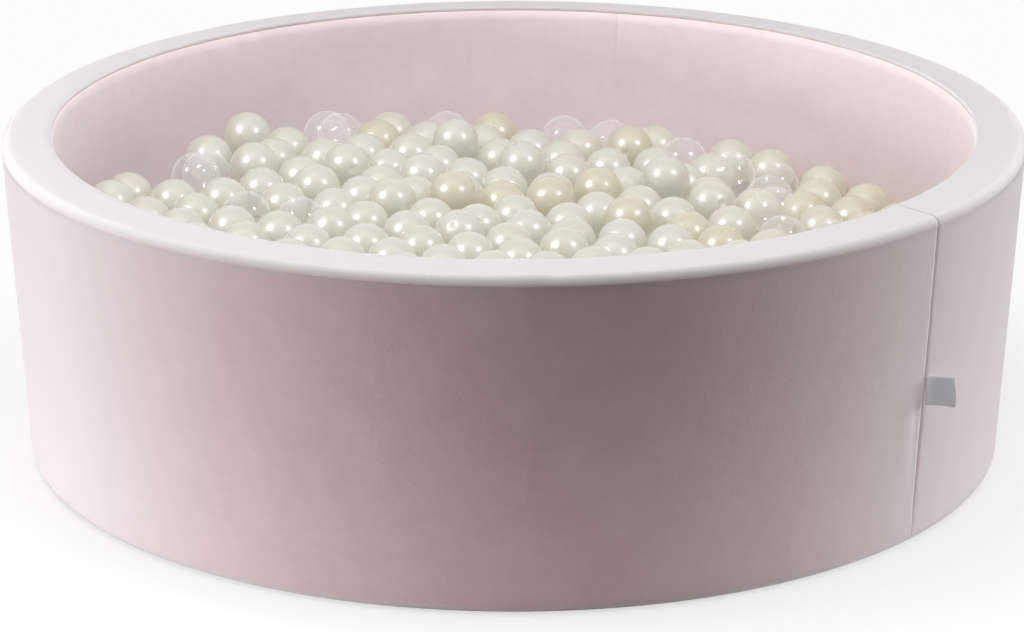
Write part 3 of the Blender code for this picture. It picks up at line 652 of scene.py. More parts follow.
# %% Sizes of the wall
RIM_RADIUS = 0.610
WALL_HEIGHT = 0.396
WALL_THICKNESS = 0.0595
WALL_LEAN = 0.0236
RIM_EDGE_RADIUS = 0.012
RIM_SLOPE = 0.003
FOOT_EDGE_RADIUS = 0.012
HEM_LIFT = 0.0006
FABRIC = 0.0012
GAP = 0.0003
OUTER_SEAM_ANGLE = -39.5
INNER_SEAM_ANGLE = 75.5
FOAM_JOINT_ANGLE = 90.0
TAPE_WIDTH = 0.0105
ZIP_RECESS_DEPTH = 0.0082


def outer_radius(height):
    """The radius of the wall's outside at a height."""
    return RIM_RADIUS - WALL_LEAN * (1.0 - height / WALL_HEIGHT)


def inner_radius(height):
    """The radius of the wall's inside at a height."""
    return outer_radius(height) - WALL_THICKNESS


def arc(centre, radius, start, end, steps):
    """Points on a circle from one angle to another, in degrees."""
    angles = [math.radians(start + (end - start) * k / steps) for k in range(steps + 1)]
    return [(centre[0] + radius * math.cos(a), centre[1] + radius * math.sin(a)) for a in angles]


def line(start, end, steps):
    """Points on a straight line, without its end."""
    return [
        (start[0] + (end[0] - start[0]) * k / steps, start[1] + (end[1] - start[1]) * k / steps)
        for k in range(steps)
    ]


def line_length(points):
    """How long a profile is."""
    return sum(math.dist(near, far) for near, far in zip(points, points[1:]))


FOOT_CENTRE = (outer_radius(FOOT_EDGE_RADIUS) - FOOT_EDGE_RADIUS, FOOT_EDGE_RADIUS + HEM_LIFT)
RIM_CENTRE = (RIM_RADIUS - RIM_EDGE_RADIUS, WALL_HEIGHT - RIM_SLOPE - RIM_EDGE_RADIUS)
ZIP_RADIUS = FOOT_CENTRE[0] - TAPE_WIDTH - GAP
UNDERSIDE_EDGE = ZIP_RADIUS - TAPE_WIDTH - GAP
print("zip radius", round(ZIP_RADIUS, 4), "underside edge", round(UNDERSIDE_EDGE, 4))

# %% [markdown]
# ## The foam strips
# Two strips of foam, bent into half rings and butted, make the wall. Nobody sees them in the closed cover,
# but the part is kept piece by piece, so they get their true section with soft corners and cut ends.

# %% Two half rings of foam
FOAM_INSET = FABRIC + 2 * GAP
FOAM_OUTER_INSET = 0.0048
FOAM_CORNER = 0.004
FOAM_STEPS = 72


def foam_profile():
    """The strip's section: it fills the cover and is cut back over the zip."""
    low = FOAM_INSET
    high = WALL_HEIGHT - FOAM_INSET
    inside_low = inner_radius(0.0) + FOAM_INSET
    inside_high = inner_radius(WALL_HEIGHT) + FOAM_INSET
    recess = ZIP_RECESS_DEPTH + 2 * GAP
    return [
        (inside_low, low + FOAM_CORNER),
        *line((inside_low, low + FOAM_CORNER), (inside_high, high - FOAM_CORNER), 8)[1:],
        *arc((inside_high + FOAM_CORNER, high - FOAM_CORNER), FOAM_CORNER, 180.0, 90.0, 3),
        *arc(RIM_CENTRE, RIM_EDGE_RADIUS - FOAM_OUTER_INSET, 80.0, 0.0, 8),
        *arc(FOOT_CENTRE, FOOT_EDGE_RADIUS - FOAM_OUTER_INSET, 0.0, -80.0, 5),
        (FOOT_CENTRE[0] + FOAM_INSET, recess),
        (UNDERSIDE_EDGE - FOAM_INSET, recess),
        (UNDERSIDE_EDGE - FOAM_INSET, low),
        (inside_low + FOAM_CORNER, low),
    ]


def foam_strip(name, start, node):
    """Half a ring from its closed section, with both ends capped."""
    half_gap = math.degrees(GAP / inner_radius(0.0))
    points = foam_profile()
    piece = drawn_profile(name, [*points, points[0]], start + half_gap)
    bpy.ops.mesh.remove_doubles(threshold=MERGE)
    bpy.ops.mesh.select_all(action="SELECT")
    spun([(180.0 - 2 * half_gap, FOAM_STEPS)])
    bpy.ops.mesh.select_all(action="SELECT")
    bpy.ops.mesh.fill_holes(sides=0)
    tidy(piece, foam_block)
    on_body(piece, "wall", "foam", node)
    return piece


left_foam = foam_strip("left_foam_strip", FOAM_JOINT_ANGLE, "wall_foam_left")
right_foam = foam_strip("right_foam_strip", FOAM_JOINT_ANGLE + 180.0, "wall_foam_right")
print("foam points", len(left_foam.data.vertices), "and", len(right_foam.data.vertices))

# %% [markdown]
# ## Cloth panels
# A panel is a skin of its own, 1.2 millimetres thick. It is drawn on the outside of the foam and spun from
# one side of its seam to the other. Then its points are moved by rules, because real cloth
# sinks in at a seam, ripples beside it, and bulges a little over the foam. Solidify gives it its thickness
# last. An open strip has no inside, so some panels are told which way their good side looks.

# %% Directions, bumps and waves on a ring
def radial_out(place):
    """Level, straight away from the pit's middle."""
    return Vector((place.x, place.y, 0.0)).normalized()


def radial_in(place):
    """Level, straight towards the pit's middle."""
    return -radial_out(place)


def upward(place):
    """Up, which is the same at every place."""
    return Vector((0.0, 0.0, 1.0))


def downward(place):
    """Down, which is the same at every place."""
    return Vector((0.0, 0.0, -1.0))


def seam_distance(point, seam_angle):
    """How far a point is from the seam, measured round the ring, and to which side (left is negative)."""
    turn = math.degrees(math.atan2(point.y, point.x)) - seam_angle
    turn = (turn + 180.0) % 360.0 - 180.0
    return math.radians(turn) * math.hypot(point.x, point.y)


def limited(share):
    """Keep a share between 0 and 1."""
    return min(1.0, max(0.0, share))


def bump_at(distance, width):
    """A soft bump: 1 in its middle, about a third at its width, and nothing far out."""
    return math.exp(-((distance / width) ** 2))


def waves(*place):
    """Soft random waves, the same ones every time."""
    return noise.noise(Vector(place))

# %% Move and turn the faces of a panel
def moved(piece, rule):
    """Move each point of the piece to where the rule says."""
    for vert in piece.data.vertices:
        vert.co = rule(vert.co)
    piece.data.update()


def facing(piece, towards):
    """Flip the piece's faces if most of them look away from the direction that towards gives for a place."""
    agree = sum(face.normal.dot(towards(face.center)) * face.area for face in piece.data.polygons)
    if agree < 0.0:
        open_whole(piece)
        bpy.ops.mesh.flip_normals()
        bpy.ops.object.mode_set(mode="OBJECT")
    return piece

# %% [markdown]
# At a sewn seam both edges of the cloth are folded inwards, as a seam allowance. Seen from outside, only a
# fine dark line is left between them. So each panel with an upright seam stops just short of it on both
# sides, and its edges are extruded into the wall.

# %% A ring of cloth with a seam
SEAM_OPENING = 0.0009
SEAM_EDGE_SHARE = 0.75
SEAM_TUCK = 0.0060
FINE_SWEEP = 6.0
FINE_STEPS = 46
WIDE_STEPS = 200
CLOTH_SMOOTH_ANGLE = 60.0


def turned_in(piece, seam_angle, allowance):
    """Extrude both edges beside the seam and move them to where the allowance says."""
    limit = SEAM_OPENING * SEAM_EDGE_SHARE
    choose(piece, lambda place: abs(seam_distance(place, seam_angle)) < limit)
    bpy.ops.mesh.extrude_edges_move(TRANSFORM_OT_translate={"value": (0.0, 0.0, 0.0)})
    shape = bmesh.from_edit_mesh(piece.data)
    for vert in shape.verts:
        if vert.select:
            vert.co = allowance(vert.co)
    bmesh.update_edit_mesh(piece.data)


def seamed_ring(name, profile, seam_angle, seam_radius, allowance, finish):
    """A ring of cloth from one side of its seam round to the other, with both edges turned in."""
    half_opening = math.degrees(SEAM_OPENING / seam_radius) / 2
    piece = drawn_profile(name, profile, seam_angle + half_opening)
    spun([
        (FINE_SWEEP, FINE_STEPS),
        (360.0 - 2 * half_opening - 2 * FINE_SWEEP, WIDE_STEPS),
        (FINE_SWEEP, FINE_STEPS),
    ])
    turned_in(piece, seam_angle, allowance)
    return tidy(piece, finish, smooth=CLOTH_SMOOTH_ANGLE)

# %% [markdown]
# ## The outer cover
# One long panel of velvet starts at the rim's inner edge, lies over the rim, runs down the wall and round
# the foot, and stops at the zip underneath. Its only upright seam is at the right of the front, with the
# label sewn in.

# %% The outer cover's profile
RIM_ROLL = 0.0030
RIM_ROLL_START = 195.0
TURNED_UNDER = 0.0056
TURNED_CORNER = (0.0009, 0.0048)
RIM_SLOPE_ANGLE = 5.0
HEM_TURN = 0.003


def outer_profile():
    """The outside of the cover, from its turned-in edge at the rim to its edge at the zip."""
    inside = inner_radius(WALL_HEIGHT)
    roll = (inside + RIM_ROLL, WALL_HEIGHT - RIM_ROLL)
    wall_top = (outer_radius(RIM_CENTRE[1]), RIM_CENTRE[1])
    wall_foot = (outer_radius(FOOT_CENTRE[1]), FOOT_CENTRE[1])
    rim_edge = arc(RIM_CENTRE, RIM_EDGE_RADIUS, 90.0 - RIM_SLOPE_ANGLE, 0.0, 12)
    return [
        (inside + RIM_ROLL, WALL_HEIGHT - TURNED_UNDER),
        (inside + TURNED_CORNER[0], WALL_HEIGHT - TURNED_CORNER[1]),
        *arc(roll, RIM_ROLL, RIM_ROLL_START, 90.0, 6),
        *line((inside + RIM_ROLL, WALL_HEIGHT), rim_edge[0], 6)[1:],
        *rim_edge[:-1],
        *line(wall_top, wall_foot, 44),
        *arc(FOOT_CENTRE, FOOT_EDGE_RADIUS, 0.0, -90.0, 8),
        (FOOT_CENTRE[0], HEM_LIFT + HEM_TURN),
        (FOOT_CENTRE[0], ZIP_RECESS_DEPTH),
    ]


outer_line = outer_profile()
print("outer cover, height laid flat", round(line_length(outer_line), 3))

# %% [markdown]
# Beside the seam the stitches pull the velvet into fine ripples, and the foam under it is never quite even.
# Below the label, which is sewn into the seam, the cloth hangs in one shallow fold with a soft ridge beside
# it.

# %% How the velvet lies at its seam and over the foam
SEAM_DEPTH = 0.0011
SEAM_SINK_WIDTH = 0.0026
SEAM_RIM_LOSS = 0.9
PUCKER_HEIGHT = 0.00045
PUCKER_REACH = 0.018
RIPPLES = ((1.0, 40.0, 75.0, 3.0), (0.6, 70.0, 160.0, 8.0))  # share, waves per metre round and up, seed
HOLLOWS = ((0.0006, 4.0, 5.0), (0.00022, 19.0, 12.0))  # height, waves per metre level and up
LABEL_MIDDLE_HEIGHT = 0.187
LABEL_HEIGHT = 0.035
LABEL_LOW = LABEL_MIDDLE_HEIGHT - LABEL_HEIGHT / 2
FOLD_DEPTH = 0.00112
FOLD_OFFSET = -0.011
FOLD_WIDTH = 0.0085
FOLD_WANDER = 0.004
FOLD_BENDS = (26.0, 5.0)  # waves per metre up, seed
FOLD_RUN_IN = 0.03
FOLD_RUN_OUT = 0.07
FOLD_FULL = 0.02
RIDGE_HEIGHT = 0.0006
RIDGE_OFFSET = -0.030
RIDGE_WIDTH = 0.014


def seam_pull(away, height, on_rim):
    """Ripples beside the seam and a sunk line along it, which is weaker on the rim."""
    ripple = sum(share * waves(away * level, height * steep, seed) for share, level, steep, seed in RIPPLES)
    sink = SEAM_DEPTH * (1.0 - SEAM_RIM_LOSS * on_rim) * bump_at(away, SEAM_SINK_WIDTH)
    return PUCKER_HEIGHT * ripple * bump_at(away, PUCKER_REACH) - sink


def foam_unevenness(point):
    """Broad and small hollows of the foam under the velvet."""
    return sum(
        deep * waves(point.x * level, point.y * level, point.z * steep) for deep, level, steep in HOLLOWS
    )


def label_fold(away, height):
    """The fold below the label, which starts beside it and dies out further down, and the ridge beside it."""
    below = LABEL_LOW - height
    strength = limited((below + FOLD_FULL) / FOLD_RUN_IN) * limited(1.0 - (below - FOLD_FULL) / FOLD_RUN_OUT)
    steep, seed = FOLD_BENDS
    wander = FOLD_WANDER * waves(0.0, height * steep, seed)
    fold = FOLD_DEPTH * bump_at(away - FOLD_OFFSET - wander, FOLD_WIDTH)
    return strength * (RIDGE_HEIGHT * bump_at(away - RIDGE_OFFSET, RIDGE_WIDTH) - fold)

# %% [markdown]
# Near the rim two marks show in the photograph: a slanted crease right of the middle, left from the
# packing, and a dent at the front, where the two foam strips meet under the velvet.

# %% Marks near the rim, and where the velvet lies in all
CREASE_ANGLE = -26.0
CREASE_HEIGHT = 0.3600
CREASE_SLANT = 0.16
CREASE_RELIEF = 0.0012
CREASE_REACH = 0.030
CREASE_HALF = 0.003
CREASE_WIDTH = 0.0035
JOINT_ANGLE = -85.4
JOINT_LOWEST = 0.30
JOINT_RISE = 0.09
JOINT_DEPTH = 0.0011
JOINT_WIDTH = 0.010
SWELLING_HEIGHT = 0.0012
SWELLING_OFFSET = -0.035
SWELLING_WIDTH = 0.030
FOOT_FADE = 0.03


def rim_crease(point):
    """A raised line over a sunk one, slightly slanted."""
    away = seam_distance(point, CREASE_ANGLE)
    over = point.z - CREASE_HEIGHT + away * CREASE_SLANT
    relief = bump_at(over - CREASE_HALF, CREASE_WIDTH) - bump_at(over + CREASE_HALF, CREASE_WIDTH)
    return CREASE_RELIEF * bump_at(away, CREASE_REACH) * relief


def foam_joint(point):
    """The dent over the foam's joint, with a low swelling beside it."""
    away = seam_distance(point, JOINT_ANGLE)
    swelling = SWELLING_HEIGHT * bump_at(away - SWELLING_OFFSET, SWELLING_WIDTH)
    dent = JOINT_DEPTH * bump_at(away, JOINT_WIDTH)
    return limited((point.z - JOINT_LOWEST) / JOINT_RISE) * (swelling - dent)


def outer_shape(point):
    """Where the stretched velvet really lies. Round the foot it stays as it was drawn."""
    if point.z < FOOT_EDGE_RADIUS:
        return point
    away = seam_distance(point, OUTER_SEAM_ANGLE)
    on_rim = limited((point.z - RIM_CENTRE[1]) / RIM_EDGE_RADIUS)
    outward = (radial_out(point) * (1.0 - on_rim) + upward(point) * on_rim).normalized()
    move = seam_pull(away, point.z, on_rim) + foam_unevenness(point) + label_fold(away, point.z)
    move += rim_crease(point) + foam_joint(point)
    return point + outward * move * min(1.0, (point.z - FOOT_EDGE_RADIUS) / FOOT_FADE)

# %% [markdown]
# On top of the rim, up to both its edges, a paler, greyer colour is painted as painted light for the top
# light. Points on the rim carry that as a number, which the velvet group reads.

# %% Make the outer cover
# Depths under the rim's two edges over which the painted rim light fades out.
RIM_LIGHT_INSIDE = (0.0010, 0.0040)
RIM_LIGHT_OUTSIDE = (0.0030, 0.0150)
RIM_TOP_SHARE = 0.5
FOOT_TUCK_SHARE = 0.3


def outer_allowance(place):
    """On the rim the allowance hangs down, on the wall it points in, and at the foot it points up."""
    if place.z > WALL_HEIGHT - RIM_EDGE_RADIUS * RIM_TOP_SHARE:
        return place + downward(place) * SEAM_TUCK
    if place.z < FOOT_EDGE_RADIUS:
        return place + upward(place) * SEAM_TUCK * FOOT_TUCK_SHARE
    return place + radial_in(place) * SEAM_TUCK


def painted_rim_light(piece):
    """Say how much painted rim light each point takes: all on top of the rim, and less with the depth under
    its edges.
    """
    attribute = piece.data.attributes.new("painted_rim_light", "FLOAT", "POINT")
    middle = (inner_radius(WALL_HEIGHT) + RIM_RADIUS) / 2
    for vert, value in zip(piece.data.vertices, attribute.data):
        inside = math.hypot(vert.co.x, vert.co.y) < middle
        top = WALL_HEIGHT if inside else WALL_HEIGHT - RIM_SLOPE
        near, far = RIM_LIGHT_INSIDE if inside else RIM_LIGHT_OUTSIDE
        share = limited((top - vert.co.z - near) / (far - near))
        value.value = 1.0 - share * share * (3.0 - 2.0 * share)


outer_cover = seamed_ring(
    "velvet_cover", outer_line, OUTER_SEAM_ANGLE, RIM_RADIUS, outer_allowance, outer_velvet
)
moved(outer_cover, outer_shape)
painted_rim_light(outer_cover)
modified(outer_cover, "SOLIDIFY", thickness=FABRIC, offset=-1.0)
on_body(outer_cover, "wall", "outer_velvet", "outer_cover_panel")
print("outer cover faces", len(outer_cover.data.polygons))

# %% [markdown]
# ## The inner cover
# The lining of the wall is the same velvet with lighter colours, partly for its pile brushed the other way
# and partly painted light for the bright inside of the pit. It hangs straight from the rim's inner edge to
# the floor and closes with a seam at the back. Its back is drawn, and its thickness is added towards the
# middle of the pit.

# %% Make the inner cover
LINING_TOP = WALL_HEIGHT - 0.0049
LINING_LOW = FABRIC + GAP
LINING_TURN = 0.0012
LINING_EDGE = ((0.0030, 0.0019), (0.0008, 0.0005))  # out and down from the lining's top
LINING_SEAM_DEPTH = 0.0010
LINING_SINK_WIDTH = 0.0024
LINING_RIPPLE = 0.0003
LINING_RIPPLE_REACH = 0.012
LINING_WAVE = 0.0005
LINING_RIPPLES = (60.0, 120.0, 1.0)  # waves per metre round and up, seed
LINING_WAVES = (5.0, 6.0, 4.0)  # waves per metre level and up, seed


def inner_profile():
    """The lining's back, from its turned-in edge under the rim down to the floor."""
    hang = LINING_TOP - LINING_TURN
    return [
        *((inner_radius(LINING_TOP) + out, LINING_TOP - down) for out, down in LINING_EDGE),
        *line((inner_radius(hang), hang), (inner_radius(LINING_LOW), LINING_LOW), 36),
        (inner_radius(LINING_LOW), LINING_LOW),
    ]


def inner_shape(point):
    """The lining sinks at its seam and has slight waves."""
    away = seam_distance(point, INNER_SEAM_ANGLE)
    level, steep, seed = LINING_RIPPLES
    move = LINING_RIPPLE * waves(away * level, point.z * steep, seed) * bump_at(away, LINING_RIPPLE_REACH)
    move -= LINING_SEAM_DEPTH * bump_at(away, LINING_SINK_WIDTH)
    level, steep, seed = LINING_WAVES
    move += LINING_WAVE * waves(point.x * level, point.y * level, point.z * steep + seed)
    return point + radial_in(point) * move


def inner_allowance(place):
    """The allowance points into the wall."""
    return place + radial_out(place) * SEAM_TUCK


inner_line = inner_profile()
inner_cover = seamed_ring(
    "velvet_lining", inner_line, INNER_SEAM_ANGLE, inner_radius(WALL_HEIGHT), inner_allowance, inner_velvet
)
moved(inner_cover, inner_shape)
facing(inner_cover, radial_out)
modified(inner_cover, "SOLIDIFY", thickness=FABRIC, offset=-1.0)
on_body(inner_cover, "wall", "inner_velvet", "inner_cover_panel")
print("lining faces", len(inner_cover.data.polygons), "height laid flat", round(line_length(inner_line), 3))

# %% [markdown]
# ## Rings of plain cloth
# The underside, the mat's bands and the zips' tapes are strips of cloth without an upright seam. Their
# weave has to follow the strip, so each gets a UV map in metres: U runs round the ring and V across the
# strip.

# %% Lay a UV map on a ring of cloth
def lay_uv(piece, cut_angle, profile):
    """U runs round the ring from the cut and V along the profile, both in metres."""
    mesh = piece.data
    path = np.array(profile)
    steps = np.linalg.norm(np.diff(path, axis=0), axis=1)
    lengths = np.concatenate([[0.0], np.cumsum(steps)])
    points = np.array([vert.co for vert in mesh.vertices])
    flat = np.column_stack([np.hypot(points[:, 0], points[:, 1]), points[:, 2]])
    best = np.full(len(flat), np.inf)
    v = np.zeros(len(flat))
    for k, step in enumerate(steps):
        way = path[k + 1] - path[k]
        share = np.clip(((flat - path[k]) @ way) / max(step * step, 1e-12), 0.0, 1.0)
        apart = np.linalg.norm(flat - path[k] - share[:, None] * way, axis=1)
        nearer = apart < best
        best[nearer] = apart[nearer]
        v[nearer] = (lengths[k] + share * step)[nearer]
    turn = (np.degrees(np.arctan2(points[:, 1], points[:, 0])) - cut_angle) % 360.0
    middle_radius = float(flat[:, 0].mean())
    layer = mesh.uv_layers.new(name="cloth")
    for face in mesh.polygons:
        turns = [turn[index] for index in face.vertices]
        wraps = max(turns) - min(turns) > 180.0
        for loop_index, value, index in zip(face.loop_indices, turns, face.vertices):
            if wraps and value < 180.0:
                value += 360.0
            layer.data[loop_index].uv = (math.radians(value) * middle_radius, v[index])


def strip_ring(name, points, towards, finish, thickness, start=0.0, sweep=360.0, steps=180):
    """A ring of cloth from an open profile on its good side, with a UV map in metres."""
    piece = drawn_profile(name, points, start)
    spun([(sweep, steps)])
    tidy(piece, finish)
    facing(piece, towards)
    modified(piece, "SOLIDIFY", thickness=thickness, offset=-1.0)
    lay_uv(piece, start, points)
    return piece

# %% [markdown]
# ## The underside
# The ring stands on a flat strip of plain woven cloth. Its outer edge turns up and carries one side of the
# zip, so the zip sits in a shallow recess and never touches the floor.

# %% Make the underside
UNDERSIDE_BEND = 0.0014
UNDERSIDE_EDGE_TURN = ((0.0004, 0.0006), (0.0012, 0.0))  # out and up from the wall's inside
UNDERSIDE_START = 0.002

underside_line = [
    *((inner_radius(0.0) + out, up) for out, up in UNDERSIDE_EDGE_TURN),
    *line((inner_radius(0.0) + UNDERSIDE_START, 0.0), (UNDERSIDE_EDGE - UNDERSIDE_BEND, 0.0), 5),
    *arc((UNDERSIDE_EDGE - UNDERSIDE_BEND, UNDERSIDE_BEND), UNDERSIDE_BEND, -90.0, 0.0, 4),
    (UNDERSIDE_EDGE, ZIP_RECESS_DEPTH),
]
underside = strip_ring("underside_strip", underside_line, downward, lining_cloth, FABRIC)
on_body(underside, "wall", "underside_cloth", "underside_panel")
print("underside width", round(line_length(underside_line), 4))

# %% [markdown]
# ## The label
# The small label is a ribbon folded once, with both ends sewn into the seam. It stands off the wall and its
# free end droops. It is drawn in plan, out along one layer, round the fold and back, then raised to its
# height. It stays bare.

# %% Draw the label in plan
LABEL_WIDTH = 0.035
LABEL_TURNS = (24.0, 62.0)
LABEL_BENDING = 0.8
LABEL_STANDOFF = 0.0011
LABEL_BENDS = 16
LABEL_FOLD = 0.001
RIBBON_PLY = 0.00032
RIBBON_APART = 0.00022
RIBBON_BULGE = 0.8
FOLD_TIP_REACH = 1.2
FOLD_TIP_SHARES = (0.25, 0.75)

seam_turn = math.radians(OUTER_SEAM_ANGLE)
seam_out = Vector((math.cos(seam_turn), math.sin(seam_turn), 0.0))
seam_along = Vector((-math.sin(seam_turn), math.cos(seam_turn), 0.0))
label_start = seam_out * (outer_radius(LABEL_LOW + LABEL_HEIGHT) + LABEL_STANDOFF)
label_start += Vector((0.0, 0.0, LABEL_LOW))
near_layer, far_layer = [], []
label_place = label_start
for step in range(LABEL_BENDS + 1):
    share = step / LABEL_BENDS
    turn = math.radians(LABEL_TURNS[0] + (LABEL_TURNS[1] - LABEL_TURNS[0]) * share**LABEL_BENDING)
    heading = seam_along * math.cos(turn) + seam_out * math.sin(turn)
    sideways = Vector((-heading.y, heading.x, 0.0))
    gap = RIBBON_APART * (1.0 + RIBBON_BULGE * math.sin(math.pi * share))
    near_layer.append(label_place + sideways * gap)
    far_layer.append(label_place - sideways * gap)
    label_place = label_place + heading * (LABEL_WIDTH - LABEL_FOLD) / LABEL_BENDS
fold_tip = [
    near_layer[-1].lerp(far_layer[-1], share) + heading * RIBBON_APART * FOLD_TIP_REACH
    for share in FOLD_TIP_SHARES
]
label_plan = [*near_layer, *fold_tip, *reversed(far_layer)]
print("label plan points", len(label_plan))

# %% Raise, curl and fasten the label
LABEL_DROOP = 7.0
LABEL_CURL = 0.0016
LABEL_WAVE = 0.0005
LABEL_CURL_PHASE = (1.3, 0.3)  # half waves over the label's height, and the angle at its foot
LABEL_WAVES = (60.0, 3.0, 2.0)  # waves per metre out, waves up the label, seed


def label_shape(point):
    """The label droops and curls a little away from its upright."""
    away = (point - label_start).to_2d().length
    high = (point.z - LABEL_LOW) / LABEL_HEIGHT
    droop = away * math.tan(math.radians(LABEL_DROOP))
    halves, begin_angle = LABEL_CURL_PHASE
    level, steep, seed = LABEL_WAVES
    curl = LABEL_CURL * (away / LABEL_WIDTH) ** 2 * math.sin(math.pi * high * halves + begin_angle)
    curl += LABEL_WAVE * waves(away * level, high * steep, seed)
    return point - Vector((0.0, 0.0, droop)) + seam_out * curl


label = drawn_line("bare_label", label_plan)
for _ in range(LABEL_BENDS):
    bpy.ops.mesh.extrude_edges_move(TRANSFORM_OT_translate={"value": (0.0, 0.0, LABEL_HEIGHT / LABEL_BENDS)})
bpy.ops.object.mode_set(mode="OBJECT")
label_uv = label.data.uv_layers.new(name="cloth")
for loop in label.data.loops:
    spot = label.data.vertices[loop.vertex_index].co
    label_uv.data[loop.index].uv = ((spot - label_start).to_2d().length, spot.z - LABEL_LOW)
tidy(label, ribbon_satin, smooth=70.0, merge=0.00001)
moved(label, label_shape)
modified(label, "SOLIDIFY", thickness=RIBBON_PLY, offset=0.0)
on_body(label, "wall", "label_ribbon", "side_label")
print("label faces", len(label.data.polygons))

# %% [markdown]
# ## The mat
# A loose round mat lies inside the ring. Its foam slab is a spun section with soft corners, and its cover
# is two round panels and two bands, so that the zip can run round its side.

# %% Sizes of the zips and the mat
TAPE_THICKNESS = 0.0008
COIL_WIDTH = 0.0024
COIL_HEIGHT = 0.0020
ZIP_START_ANGLE = 95.0
ZIP_SWEEP = 350.0
SLIDER_CHEEK = 0.0009
MAT_CLEARANCE = 0.0169
MAT_RADIUS = inner_radius(0.0) - MAT_CLEARANCE
MAT_THICKNESS = 0.050
MAT_ZIP_RADIUS = MAT_RADIUS - FABRIC - GAP - TAPE_THICKNESS
MAT_SLOT = COIL_WIDTH + GAP * 2.5 + SLIDER_CHEEK
MAT_SEAM = FABRIC + GAP
print("mat radius", round(MAT_RADIUS, 4), "its zip's radius", round(MAT_ZIP_RADIUS, 4))

# %% Make the mat's foam
MAT_FOAM_CORNER = 0.005
MAT_FOAM_STEPS = 120


def mat_slab():
    """The round slab of foam, spun from its half section."""
    low, high = FABRIC + GAP, MAT_THICKNESS - FABRIC - GAP
    corner = MAT_ZIP_RADIUS - GAP - MAT_FOAM_CORNER
    points = [
        *line((0.0, low), (corner, low), 14),
        *arc((corner, low + MAT_FOAM_CORNER), MAT_FOAM_CORNER, -90.0, 0.0, 4),
        *arc((corner, high - MAT_FOAM_CORNER), MAT_FOAM_CORNER, 0.0, 90.0, 4),
        *reversed(line((0.0, high), (corner, high), 14)),
    ]
    piece = drawn_profile("mat_slab", points, 0.0)
    spun([(360.0, MAT_FOAM_STEPS)])
    tidy(piece, foam_block)
    on_body(piece, "floor_mat", "foam", "mat_foam")
    return piece


print("mat slab faces", len(mat_slab().data.polygons))

# %% [markdown]
# The balls press the mat's top panel into slight hollows between stiffer places. The bands stand upright
# and bulge a little between their seams, and the upper and the lower band leave room for the zip.

# %% Make the mat's cover
MAT_EDGE_TURN = 0.0022
MAT_EDGE_STEP_ANGLE = 15.0
MAT_EDGE_STEPS = 6
MAT_DISC_STEPS = 40
MAT_TURN_STEPS = 180
MAT_HOLLOW = 0.0012
MAT_HOLLOW_SHARE = 0.4
MAT_HOLLOWS_PER_METRE = 9.0
BAND_BULGE = 0.0008
BAND_DIVISIONS = 8


def pressed(place):
    """The mat's top sinks in soft patches."""
    deep = max(0.0, MAT_HOLLOW_SHARE + noise.noise(place * MAT_HOLLOWS_PER_METRE))
    return place + downward(place) * MAT_HOLLOW * deep


def mat_disc(name, node, finish, slot, faces_up):
    """A round panel whose edge turns over towards the band."""
    ways = 1.0 if faces_up else -1.0
    level = MAT_THICKNESS if faces_up else 0.0
    flat_radius = MAT_RADIUS - MAT_EDGE_TURN
    points = line((0.0, level), (flat_radius, level), MAT_DISC_STEPS)
    for step in range(MAT_EDGE_STEPS):
        turn = math.radians(MAT_EDGE_STEP_ANGLE * step)
        drop = MAT_EDGE_TURN * (1.0 - math.cos(turn))
        points.append((flat_radius + MAT_EDGE_TURN * math.sin(turn), level - ways * drop))
    piece = drawn_profile(name, points, 0.0)
    spun([(360.0, MAT_TURN_STEPS)])
    tidy(piece, finish)
    facing(piece, upward if faces_up else downward)
    if faces_up:
        moved(piece, pressed)
    modified(piece, "SOLIDIFY", thickness=FABRIC, offset=-1.0)
    lay_uv(piece, 0.0, points)
    on_body(piece, "floor_mat", slot, node)
    return piece


def mat_band(name, node, low, high):
    """The upright band of the mat's cover, bulging slightly between its two seams."""
    points = []
    for step in range(BAND_DIVISIONS + 1):
        sunk = BAND_BULGE * (1.0 - math.sin(math.pi * step / BAND_DIVISIONS))
        points.append((MAT_RADIUS - sunk, low + (high - low) * step / BAND_DIVISIONS))
    piece = strip_ring(name, points, radial_out, inner_velvet, FABRIC)
    on_body(piece, "floor_mat", "mat_velvet", node)
    return piece


mat_cover = [
    mat_disc("mat_top", "mat_top_panel", inner_velvet, "mat_velvet", True),
    mat_disc("mat_bottom", "mat_underside_panel", lining_cloth, "underside_cloth", False),
    mat_band("mat_side_upper", "mat_upper_band", MAT_THICKNESS / 2 + MAT_SLOT, MAT_THICKNESS - MAT_SEAM),
    mat_band("mat_side_lower", "mat_lower_band", MAT_SEAM, MAT_THICKNESS / 2 - MAT_SLOT),
]
print("mat cover faces", [len(piece.data.polygons) for piece in mat_cover])

# %% [markdown]
# ## The zips
# Both covers come off for washing, so each has a zip: two woven tapes, a coil of nylon on each, a slider, a
# pull and two stops. The two zips are the same but for their place, so one table says on which body each
# lies, what its two sides are called, which way it looks and what carries it. Between the zip's two ends a
# short strip of the same cloth closes the cover.

# %% How a tape is made
TAPE_STEPS = 240
TAPE_DIVISIONS = 5
TAPE_CLOTH_THICKNESS = TAPE_THICKNESS * 0.9
CLOSING_GAP = 0.06
CLOSING_STEPS = 10
ZIPS = {
    "wall_zip": ("wall", ("outer", "inner"), downward, "velvet_cover"),
    "mat_zip": ("floor_mat", ("upper", "lower"), radial_out, "mat_slab"),
}


def zip_section(zip_kind, across, out):
    """Turn a place across the tapes and out from them into a radius and a height."""
    if zip_kind == "wall_zip":
        return ZIP_RADIUS + across, ZIP_RECESS_DEPTH - out
    return MAT_ZIP_RADIUS + out, MAT_THICKNESS / 2 + across


